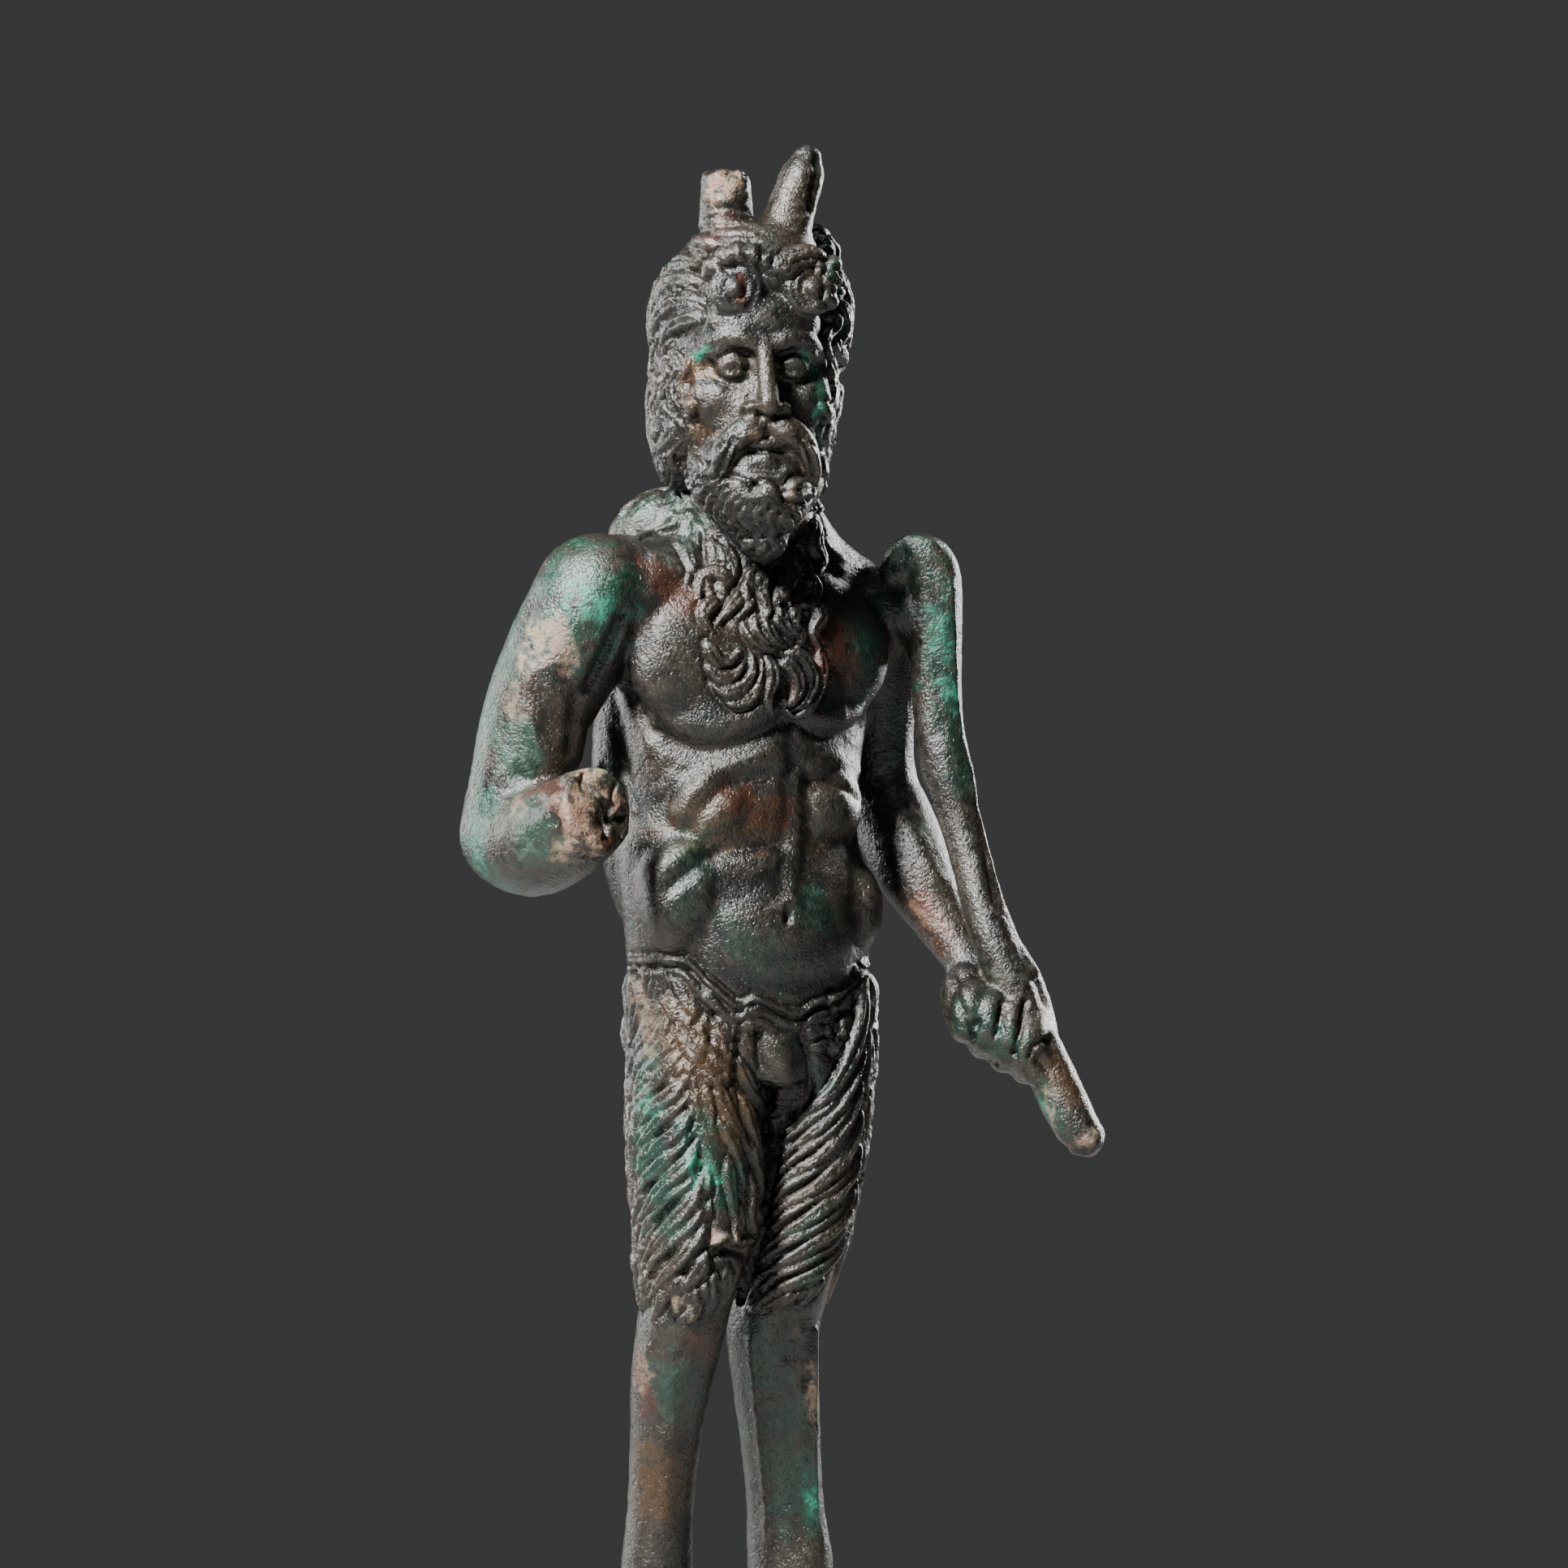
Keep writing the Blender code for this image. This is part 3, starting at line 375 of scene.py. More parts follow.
# Rough masses, taken as far as the forms under the hair and fur
def roughTrunk():
    turn = figure["bodyTurn"]
    stack([
        (84, 1.8, 0.0, 14.0, 9.2), (87, 1.8, 0.0, 14.9, 10.0), (92, 1.7, 0.0, 15.2, 10.5),
        (99, 1.6, 0.0, 15.6, 10.9), (103, 2.0, 0.0, 16.4, 11.3), (107, 1.7, 0.0, 16.6, 11.3),
        (113, 0.4, 0.2, 15.7, 10.6), (119, 0.9, 0.2, 15.0, 10.1), (126, 1.2, 0.0, 15.6, 10.3),
        (133, 1.4, -0.3, 16.6, 10.5), (140, 1.6, -0.3, 17.1, 9.9), (145, 1.8, 0.2, 15.8, 8.7),
        (148, 2.0, 0.6, 13.2, 7.9), (151, 2.1, 0.2, 9.8, 7.3), (156, 2.1, -0.8, 7.9, 7.2),
        (162, 2.1, -2.0, 7.6, 7.4),
    ], turn)
    for way in (-1, 1):
        ball(body(way * 6.2 - 0.4, 4.5, 136.4), (11.2, 5.1, 9.8), turn)  # chest
        ball(body(way * 8.2, -6.2, 138.0), (8.6, 3.9, 10.0), turn)  # shoulder blades
        ball(body(way * 6.0, -6.0, 90.5), (7.0, 6.4, 9.0), turn)  # buttocks
        ball(body(way * 6.6, 4.2, 117.8), (6.6, 5.6, 7.0), turn)  # ribs
        ball(body(way * 2.9, -8.2, 112.0), (2.8, 2.6, 15.0), turn)  # along the spine
    ball(body(0.4, 4.8, 102.6), (12.3, 7.8, 10.0), turn)
    ball(body(12.4, 2.0, 105.0), (4.0, 7.2, 6.4), turn)
    ball(body(-10.8, 3.7, 107.0), (5.4, 6.4, 8.4), turn)
    ball((-10.2, 0.8, 119.0), (7.4, 6.6, 21.0), turn, -5)
    limb([(-16.8, -7.8, 143.2, 7.9), (-8.0, -3.4, 143.6, 7.4), (2.0, 1.2, 143.6, 7.2),
          (11.0, 5.0, 142.0, 6.6), (18.6, 8.6, 141.2, 5.8)])
    limb([(-8.0, 0.5, 147.5, 5.2), (-4.0, -0.5, 151.5, 5.6), (0.0, -1.5, 157.0, 6.0)])
    limb([(16.2, 6.4, 145.4, 2.6), (11.0, 3.4, 148.2, 3.4), (7.0, 1.0, 152.0, 4.4)])


def roughArms():
    limb([(-17.8, -8.4, 141.8, 7.6), (-21.2, -8.5, 135.4, 7.3), (-24.2, -8.3, 128.8, 6.7),
          (-25.9, -7.9, 121.0, 6.6), (-26.7, -7.4, 114.4, 7.0)])
    limb([(-26.7, -7.2, 114.3, 7.0), (-24.2, -11.6, 113.5, 6.9), (-20.6, -16.0, 114.9, 6.3),
          (-17.6, -19.6, 116.8, 5.7), (-16.2, -21.2, 117.4, 5.4)], blunt=True)
    ball((-22.6, -10.2, 126.0), (4.6, 4.4, 8.0), 0, 12)
    limb([(18.4, 8.8, 141.2, 6.0), (18.2, 10.5, 135.0, 5.2), (17.7, 12.0, 127.0, 4.6),
          (18.0, 12.8, 120.5, 4.8), (19.9, 11.6, 115.2, 5.2), (22.4, 9.0, 109.4, 4.9),
          (25.9, 6.0, 103.0, 3.5), (28.6, 3.4, 98.4, 2.8), (29.2, 1.8, 95.2, 3.2)])


def roughStick():
    limb([(19.6, 3.4, 146.4, 1.8), (20.9, 3.0, 148.4, 2.3), (23.0, 2.8, 148.8, 2.7),
          (24.6, 3.0, 146.8, 3.2), (24.9, 3.4, 142.0, 3.3), (24.9, 3.6, 135.0, 3.2),
          (25.2, 3.4, 128.0, 3.1), (26.2, 2.8, 122.2, 3.2), (27.5, 2.2, 117.0, 2.7),
          (28.7, 1.2, 112.5, 2.5), (29.9, 0.0, 108.0, 2.6), (31.3, -1.4, 103.0, 2.8),
          (33.0, -2.6, 98.5, 2.8), (35.6, -3.4, 92.0, 2.7), (38.4, -4.4, 86.0, 2.9),
          (40.6, -5.2, 81.0, 3.0), (42.9, -6.0, 77.0, 2.6)])
    limb([(17.5, 5.6, 143.0, 4.2), (21.0, 4.8, 141.5, 3.4), (24.6, 4.2, 139.0, 3.0)])


def roughLegs():
    stack([
        (96, -5.0, -2.5, 8.0, 8.6), (87, -4.8, -3.6, 7.9, 9.0), (77, -4.7, -4.8, 8.1, 8.6),
        (67, -4.5, -6.0, 7.5, 7.8), (61, -5.3, -6.6, 6.5, 7.2), (57, -5.9, -6.4, 5.7, 6.8),
        (53, -6.6, -5.8, 5.5, 6.4), (47, -7.7, -4.2, 5.0, 5.8), (39, -8.55, -2.0, 4.3, 5.2),
        (31, -9.15, 0.0, 4.05, 4.8), (26, -9.5, 1.0, 4.3, 5.0), (21, -9.7, 1.2, 4.4, 4.8),
        (16, -9.6, 0.4, 3.6, 3.8), (11, -9.5, -1.0, 3.3, 3.5), (6, -9.5, -2.4, 3.8, 3.9),
        (4, -9.5, -2.8, 3.6, 3.8),
    ], 12)
    stack([
        (96, 9.2, 3.6, 7.4, 8.6), (87, 9.1, 3.0, 7.2, 8.6), (77, 8.5, 2.2, 7.2, 8.2),
        (67, 7.2, 1.2, 6.8, 7.6), (61, 6.2, 0.8, 6.1, 7.0), (57, 5.3, 1.0, 5.7, 6.6),
        (53, 4.7, 1.6, 5.4, 6.2), (47, 5.0, 3.0, 4.9, 6.1), (39, 5.65, 5.0, 4.4, 5.7),
        (31, 6.25, 6.8, 4.2, 5.6), (26, 6.7, 7.8, 4.6, 6.0), (22, 7.0, 8.0, 4.7, 5.8),
        (16, 7.6, 6.8, 3.9, 4.5), (11, 8.1, 5.6, 3.5, 3.8), (6, 8.7, 4.4, 3.9, 4.1),
        (4, 8.9, 4.1, 3.7, 4.1),
    ], 40)


def roughHead():
    turn = figure["headTurn"]
    ball(head(0, -0.6, 3.6), (11.0, 12.2, 13.6), turn)
    ball(head(0.2, -1.6, 5.6), (12.0, 10.6, 12.0), turn)
    ball(head(7.6, -2.6, 14.4), (3.6, 4.0, 4.4), turn, 20)
    ball(head(0, 4.0, -6.0), (8.4, 7.8, 9.8), turn)
    ball(head(-8.4, -1.0, -1.8), (3.3, 7.4, 12.6), turn, 2)
    ball(head(9.4, -1.8, 6.4), (3.0, 7.6, 7.4), turn)
    ball(head(7.4, -2.0, -5.0), (2.9, 6.4, 9.6), turn)
    for way in (-1, 1):
        ball(head(way * 6.6, 3.0, 0.0), (3.2, 5.8, 12.0), turn)
        ball(head(way * 4.9, 8.0, -3.6), (4.0, 2.6, 3.6), turn)  # cheekbones
    ball(head(0, -6.4, -5.0), (9.6, 6.8, 13.6), turn)
    ball((-8.6, 1.8, 151.6), (7.2, 5.6, 4.9), 0, -14)  # hair fallen behind the shoulder
    ball(head(-0.3, 6.8, -12.8), (8.5, 6.6, 6.8), turn)
    limb([(*head(0, 7.8, -14.6), 6.6), (*head(0.2, 8.4, -17.6), 5.4), (*head(0.3, 8.8, -20.6), 3.0)])
    ball(head(0, 5.2, 14.8), (7.4, 4.8, 3.6), turn)
    ball(head(0, 8.6, 5.6), (7.4, 3.6, 4.6), turn)  # forehead


def roughHorns():
    limb([(-1.2, -6.6, 183.6, 3.9), (-1.1, -6.8, 187.4, 3.45), (-1.0, -6.9, 190.8, 3.3),
          (-1.0, -7.1, 193.4, 3.15), (-1.05, -7.3, 195.6, 3.0)], blunt=True)
    limb([(5.6, -7.4, 183.0, 3.9), (6.2, -7.0, 187.6, 3.4), (7.2, -6.2, 191.6, 2.95),
          (8.5, -5.2, 195.4, 2.75), (8.9, -4.9, 196.9, 1.95)])


# Finer forms set on the rough skin
face = {"eyeAcross": 3.55, "eyeHeight": 0.2, "eyeRadius": 2.1, "eyeForward": 8.8}


def onEye(way, across, height, proud=0.0):  # a place on the lid of one eye
    radius = face["eyeRadius"] + proud
    forward = math.sqrt(max(radius**2 - across**2 - height**2, 0.2))
    return head(way * (face["eyeAcross"] + across), face["eyeForward"] + forward, face["eyeHeight"] + height)


def finerFace():
    turn = figure["headTurn"]
    for way in (-1, 1):
        ball(head(way * face["eyeAcross"], face["eyeForward"], face["eyeHeight"]), (face["eyeRadius"],) * 3, turn)
        limb([(*onEye(way, a, h, 0.1), 0.36) for a, h in
              ((-1.8, -0.3), (-1.1, 0.35), (0.0, 0.62), (1.1, 0.4), (1.95, -0.25))])
        limb([(*onEye(way, a, h, 0.0), 0.32) for a, h in
              ((-1.7, -0.45), (-0.8, -0.85), (0.3, -0.98), (1.2, -0.8), (1.9, -0.35))])
        limb([(*onEye(way, a, h, -0.1), 0.62) for a, h in
              ((-1.6, 0.7), (-0.8, 1.2), (0.2, 1.35), (1.2, 1.1), (1.8, 0.5))])  # upper lid
        ball(head(way * 3.9, 8.7, 2.3), (3.4, 2.3, 1.5), turn, way * 8)
        limb([(*head(way * 0.9, 11.4, 2.9), 1.1), (*head(way * 3.2, 11.1, 3.8), 1.3),
              (*head(way * 5.6, 9.8, 3.5), 1.15), (*head(way * 7.3, 7.9, 2.0), 0.9)])
        ball(head(way * 1.85, 12.6, -4.9), (1.3, 1.6, 1.15), turn)  # nostril wings
        limb([(*head(way * 0.4, 12.7, -7.0), 1.25), (*head(way * 2.6, 12.9, -7.6), 1.75),
              (*head(way * 4.7, 11.9, -9.6), 1.75), (*head(way * 5.6, 10.7, -12.4), 1.4),
              (*head(way * 5.9, 10.0, -14.2), 0.7)])  # moustache
        ball(head(way * 9.4, 0.2, -3.4), (1.5, 2.4, 3.6), turn, way * 6)  # ears, mostly under hair
    limb([(*head(0, 11.3, 3.2), 1.15), (*head(0, 12.2, 0.4), 1.15), (*head(0, 13.2, -2.4), 1.25),
          (*head(0, 13.9, -4.4), 1.65)])
    ball(head(0, 13.0, -5.2), (1.2, 1.6, 0.9), turn)
    limb([(*head(-2.2, 12.2, -9.7), 0.45), (*head(-0.8, 13.1, -9.3), 0.62), (*head(0.8, 13.1, -9.3), 0.62),
          (*head(2.2, 12.2, -9.7), 0.45)])
    limb([(*head(-2.0, 12.0, -10.6), 0.5), (*head(0, 12.9, -11.0), 0.95), (*head(2.0, 12.0, -10.6), 0.5)])
    ball(head(0, 11.6, -13.6), (3.2, 2.0, 1.8), turn)


def forelock(way, across):  # a volute over the brow, coiled round a knob
    coil = []
    for step in range(15):
        angle = math.radians(62 - 24 * step)
        radius = 2.65 - 0.07 * step
        coil.append((*head(across - way * radius * math.cos(angle), 10.9 - 0.05 * abs(step - 7),
                           9.8 + radius * math.sin(angle)), 1.42 - 0.03 * step))
    limb(coil, 3)
    ball(head(across, 11.2, 9.7), (1.2, 1.5, 1.2))
    limb([(*head(1.2, 10.2, 11.4), 1.9), (*head(across * 0.55 + 0.5, 10.6, 13.2), 1.8),
          (*head(across, 10.2, 13.6), 1.6), (*head(across + way * 2.6, 9.0, 11.8), 1.3)])


def finerHand():
    ball((29.4, 0.4, 93.0), (3.9, 4.2, 5.4), 0, -22)
    ball((33.4, -1.0, 91.2), (5.0, 4.4, 6.4), 0, -24)
    fingers = [((29.4, 94.4), (28.4, 90.6), 2.2), ((31.8, 94.0), (30.7, 88.7), 2.25),
               ((34.3, 93.0), (33.3, 87.0), 2.25), ((36.5, 91.2), (35.8, 85.6), 2.2)]
    for top, tip, thick in fingers:
        middle = ((top[0] + tip[0]) / 2, (top[1] + tip[1]) / 2)
        reach = -0.17 * (middle[0] - 28)
        limb([(top[0] + 0.3, -2.2 + reach, top[1], thick), (middle[0] + 0.1, -4.6 + reach, middle[1] + 1.2, thick),
              (middle[0] - 0.1, -4.8 + reach, middle[1] - 1.4, thick), (tip[0], -2.4 + reach, tip[1], thick * 0.95)])
    limb([(34.2, 0.4, 99.4, 1.9), (35.8, -1.0, 96.0, 2.2), (37.6, -2.4, 91.4, 1.9), (38.4, -4.2, 87.6, 1.7)])
    ball((37.2, -6.0, 86.0), (2.4, 2.0, 2.7))


def finerFeet():
    for x, y, turn in figure["hooves"]:
        left, front = directions(turn)
        for way in (-1, 1):
            heel = Vector((x, y, 6.6)) + left * way * 1.6 - front * 0.8
            middle = Vector((x, y, 3.4)) + left * way * 2.2 + front * 1.0
            toe = Vector((x, y, -1.2)) + left * way * 2.6 + front * 3.4
            limb([(*heel, 2.0), (*middle, 2.75), (*toe, 3.2)])
            ball(Vector((x, y, 8.8)) + left * way * 1.9 - front * 3.0, (1.2, 1.1, 1.5))


def crustRidge():  # the rope of hard crust down the stick's outer edge
    limb([(27.9, 1.8, 125.6, 0.6), (28.6, 1.4, 122.0, 0.9), (29.3, 1.0, 118.0, 0.8), (30.2, 0.4, 113.6, 0.95),
          (31.4, -0.6, 109.0, 0.9), (32.6, -1.6, 104.6, 1.1), (34.4, -2.4, 100.2, 1.2), (36.2, -2.8, 97.2, 1.3)])


def makeFigure():
    for rough in (roughTrunk, roughArms, roughStick, roughLegs, roughHead, roughHorns):
        rough()
    faun = joinLumps("faun_bronze")
    fuse(faun, figure["roughVoxel"])
    ease(faun.data, 9)
    sockets = Brush(faun.data)
    for way in (-1, 1):
        spot = sockets.onto([head(way * 3.7, 12, 0.8), head(way * 5.2, 11, 0.6)])
        sockets.dab(spot, 2.3, -1.25)
    sockets.raiseRelief()
    print("rough skin", len(faun.data.vertices))
    lumps.append(faun)
    finerFace()
    for way, across in zip((-1, 1), figure["locksOverBrow"]):
        forelock(way, across)
    ball(head(1.2, 8.8, 12.2), (5.6, 3.2, 3.6), figure["headTurn"])
    finerHand()
    finerFeet()
    crustRidge()
    faun = joinLumps("faun_bronze")
    fuse(faun, figure["fineVoxel"])
    faun = keepLargest(faun)
    ease(faun.data, 2)
    print("fine skin", len(faun.data.vertices))
    return faun


# Carving: strokes laid on the fine skin, most of them placed as the viewer sees them
def carveTorso(clay):
    front, back, press = clay.front, clay.back, clay.press
    clay.presses(front, [
        ([(-12.3, 130.8), (-10.5, 127.7), (-6.7, 125.2), (-2.5, 124.6), (2, 125.8), (5.7, 127.7)], 1.5, -0.85),
        ([(-11, 132.5), (-8.5, 129), (-3.7, 127.3), (1, 128), (4.5, 129.8)], 2.2, 0.5),
        ([(7.7, 128), (10.7, 126.2), (14, 126.6), (15.9, 128.2)], 1.2, -0.8),
        ([(8.5, 129.8), (11.5, 128.4), (15, 129.2)], 1.7, 0.5),
        ([(5.7, 133), (6.5, 129), (7.1, 123)], 1.6, -0.55),
        ([(-6.7, 116.7), (-4.3, 120.2), (-0.7, 122.6), (3.5, 123.6), (6, 123.2)], 1.5, 0.49),
        ([(-5.9, 114), (-3.3, 118), (0, 120.5), (4.3, 121.2)], 1.1, -0.46),
        ([(-7.5, 110.8), (-3.9, 115), (0, 117.2), (5, 118)], 2.0, 0.42),
        ([(-7.9, 107.8), (-4.9, 110.2), (-0.5, 112.4), (5.5, 113.2)], 1.2, -0.65),
        ([(-6, 107), (-1.5, 109.8), (4.5, 110.8)], 2.0, 0.27),
        ([(7.5, 121.4), (7.7, 114), (6.9, 106.5)], 0.9, 0.19),
        ([(6.3, 121.5), (6.3, 114), (5.7, 107)], 1.1, -0.24),
        ([(8.9, 121.2), (9.3, 114), (8.5, 107)], 1.0, -0.27),
        ([(9.7, 122.6), (12.3, 123.4), (15.1, 122)], 1.3, 0.38),
        ([(9.5, 121), (12.1, 120.6), (15.3, 118.4)], 0.8, -0.46),
        ([(10.3, 117), (12.7, 117.6), (14.7, 116.4)], 1.7, 0.15),
        ([(10.3, 113), (12.5, 114), (14.5, 112.8)], 1.0, -0.34),
        ([(14.1, 113), (14.7, 109), (14.3, 104.6), (15.1, 101.4)], 1.3, -0.2),
        ([(-9.7, 109.4), (-9.2, 105), (-8.1, 101)], 3.0, 0.85),
        ([(-5.9, 108.4), (-5.3, 104.8), (-4.3, 102)], 3.2, -0.4), ([(6.7, 104.6), (6.6, 103.7)], 0.55, -0.9),
        ([(5.7, 105.6), (6.8, 106.2), (7.9, 105.6)], 0.7, 0.35),
        ([(-2.5, 102), (2.5, 99.8), (8, 99.8), (12.5, 102)], 1.8, -0.25),
    ])
    for x, y in ((796, 905), (800, 925), (808, 948), (816, 972)):  # saw muscles on the ribs
        press(front([inPhoto(x, y), inPhoto(x + 13, y - 14)]), 1.2, 0.4)
    clay.presses(front, [
        ([(-9.3, 148), (-6, 147), (-2.5, 145.5)], 1.2, 0.35), ([(10, 151), (13.5, 148), (17, 146.6)], 1.0, 0.45),
        ([(10.5, 148.2), (13.5, 145.8), (16.3, 144.8)], 1.2, -0.45),
        ([(-11.5, 148), (-11.9, 143), (-11, 137)], 1.8, -0.4),
    ])
    press(back([(2.0, 150), (1.4, 135), (0.6, 120), (0.2, 108), (1.2, 98)]), 1.4, -1.0)
    for way in (-1, 1):
        clay.presses(back, [
            ([(1.2 + way * 9.0, 140), (1.2 + way * 5.0, 133), (1.2 + way * 6.0, 128)], 1.5, -0.45),
            ([(1.2 + way * 4.0, 147), (1.2 + way * 9.0, 143), (1.2 + way * 13.0, 141)], 1.4, 0.4),
            ([(1.2 + way * 2.6, 124), (1.2 + way * 3.0, 112), (1.2 + way * 3.4, 104)], 1.8, 0.4),
            ([(1.2 + way * 3.2, 103), (1.2 + way * 3.6, 100.5)], 1.2, -0.5),
        ])


def carveArms(clay):
    front, press = clay.front, clay.press
    clay.presses(front, [
        ([(-13.5, 141), (-15.3, 137), (-17.7, 132)], 1.1, -0.8),
        ([(-25, 134), (-25.3, 130), (-23.7, 125)], 1.6, 0.45),
        ([(-20.5, 134), (-19.3, 130), (-20.1, 124.5)], 1.2, -0.5),
        ([(-26.5, 121.5), (-23.7, 120.2), (-20.5, 120.8)], 1.0, -0.6),
        ([(-23.7, 118.5), (-21.5, 116), (-21.1, 112)], 1.2, -0.4),
    ])
    press(clay.side([(-6.0, 136), (-6.4, 128), (-7.0, 121)]), 1.6, -0.5)
    press(front([(18.5, 119), (21.5, 115), (24.7, 109)]), 1.4, 0.4)
    # the broken end of the right forearm
    clay.pit(figure["stumpEnd"], (5.4, 1.4, 5.6), 46, (0.5, 1.9), (-0.5, 0.45))
    for _ in range(9):
        spot = np.array(figure["stumpEnd"]) + chance.uniform(-1, 1, 3) * (4.0, 0.5, 4.2)
        run = chance.uniform(-1, 1, 3) * (2.4, 0.4, 2.8)
        path = clay.onto([spot - run, spot + chance.normal(0, 0.3, 3), spot + run])
        press(path, 0.4, chance.choice((-0.45, 0.4)))
    press(front([(-20.3, 120.8), (-16.7, 122.5), (-13.3, 120.8), (-12.3, 117)]), 0.6, 0.45)
    # grooves between the fingers, and wrinkles of the wrist
    clay.presses(front, [
        ([(29.8, 91.4), (29.1, 89.2), (28.2, 87.2)], 0.42, -0.8),
        ([(32.8, 93.4), (32.1, 90), (31.2, 86.2)], 0.42, -0.8),
        ([(35.7, 93.8), (35.1, 90.8), (34.2, 87.4)], 0.42, -0.8),
        ([(33.5, 93), (32.8, 89.5), (32.2, 85.8)], 0.3, -0.4),
        ([(26.7, 97.5), (27.5, 93.5), (29.1, 90.8)], 0.8, -0.6),
        ([(36.1, 87), (36.9, 88.6), (38.7, 89.2)], 0.5, -0.6), ([(37.3, 87), (38.1, 85.8)], 0.8, -0.6),
        ([(38.3, 102), (39.5, 95), (41.7, 88)], 0.5, 0.3),
    ])
    # the stick: a shallow channel under the crust, its broken end, and the hook's hollow
    clay.presses(front, [
        ([(24.5, 147), (24.7, 137), (25.5, 127)], 1.3, -0.25),
        ([(26.7, 145), (27.1, 135), (27.9, 127)], 0.8, 0.35), ([(19.9, 147.6), (20.7, 148.6)], 1.0, -1.1),
        ([(18.5, 149.4), (21.3, 150.6), (24.5, 150.2)], 0.9, 0.4),
        ([(29.3, 123), (29.9, 118), (31, 112), (32.1, 106)], 0.7, -0.4),
    ])
    clay.pit(figure["stickEnd"], (2.6, 2.2, 2.2), 26, (0.5, 1.0), (-0.45, 0.25))


def carveHorns(clay):
    front, press = clay.front, clay.press
    broken, whole = figure["hornEnds"]
    for z, deep in ((191.8, -0.2), (190.8, -0.3), (189.8, -0.35), (188.7, -0.3), (187.6, -0.3)):
        ring = [(x, z - 0.045 * (x + 1) ** 2 + 0.12 * chance.normal()) for x in (-4.0, -2.6, -1.0, 0.6, 2.0)]
        press(front(ring), 0.35, deep)
    for k in range(6):
        x, z = 5.4 + 0.55 * k, 187.0 + 1.5 * k
        press(front([(x - 2.4, z + 0.6), (x, z), (x + 2.2, z + 0.4)]), 0.3, -0.16)
    clay.pit(broken, (2.6, 2.6, 1.6), 46, (0.35, 0.8), (-0.45, 0.2))
    for k in range(16):  # the broken edge
        spot = np.array(broken) + (3.0 * math.cos(k), 2.6 * math.sin(k), 0.3)
        clay.dab(clay.onto([spot]), chance.uniform(0.6, 1.1), chance.uniform(-0.6, 0.1))
    press(front([(-3.7, 192.2), (-1.3, 191.6), (1.5, 192.4)]), 0.5, 0.35)
    press(front([(10.1, 197.4), (9.9, 194), (9.3, 190.8)]), 0.7, -0.4)
    clay.pit(whole, (2.0, 2.0, 2.6), 20, (0.5, 0.9), (-0.3, 0.12))


def onFace(clay, points):  # across and height on the face, mirrored with the head's turn
    return clay.kept([clay.cast(head(across, 60, height), -headFront) for across, height in points])


def carveFace(clay):
    press = clay.press
    for way in (-1, 1):
        def at(points):
            return onFace(clay, [(way * a, h) for a, h in points])
        clay.presses(at, [
            ([(2.0, 1.5), (3.6, 2.05), (5.4, 1.4)], 0.4, -0.4),  # fold over the lid
            ([(1.9, 0.1), (2.05, -0.1)], 0.4, -0.4),  # inner corner
            ([(3.35, -0.15), (3.6, -0.1), (3.85, -0.15)], 0.3, -0.22),  # pupil
            ([(1.9, -1.7), (3.4, -2.1), (5.0, -1.7)], 0.7, -0.14),
            ([(2.1, -5.4), (3.2, -6.6), (4.6, -8.2)], 0.6, -0.4), ([(0.75, -5.95), (1.25, -5.75)], 0.4, -0.9),
            ([(1.4, -3.9), (2.0, -3.6), (2.7, -4.2)], 0.4, -0.4),
            ([(1.5, 6.2), (3.4, 6.6), (5.4, 6.0)], 0.6, -0.15),
            ([(6.8, 0.6), (6.9, -2.4), (6.2, -5.4)], 1.0, -0.3),
        ])
    press(onFace(clay, [(-1.9, -10.1), (0, -10.15), (1.9, -10.1)]), 0.3, -0.5)
    press(onFace(clay, [(-1.6, -12.2), (0, -12.4), (1.6, -12.2)]), 0.6, -0.5)
    press(onFace(clay, [(0, -7.0), (0, -8.4)]), 0.4, -0.3)


hair = {
    "tiers": ((153.5, 172.5, 0.0), (168.0, 187.5, 0.5)),  # foot, top and shift of each tier of strands
    "strands": 25,
    "wave": 7.6,  # length of one wave
    "sway": 4.2,  # degrees to each side
    "crownStrands": 13,
    "browStrands": 13,
    "beard": (2.5, 157.0),  # where the beard's locks fan out from
    "beardLocks": ((13, 98, 0.46, 0.95), (9, 76, 0.1, 0.6)),  # count, spread, inner and outer end
}


def wave(height):  # shared sway of the long hair, so that its strands run side by side
    return hair["sway"] * math.sin(2 * math.pi * height / hair["wave"])


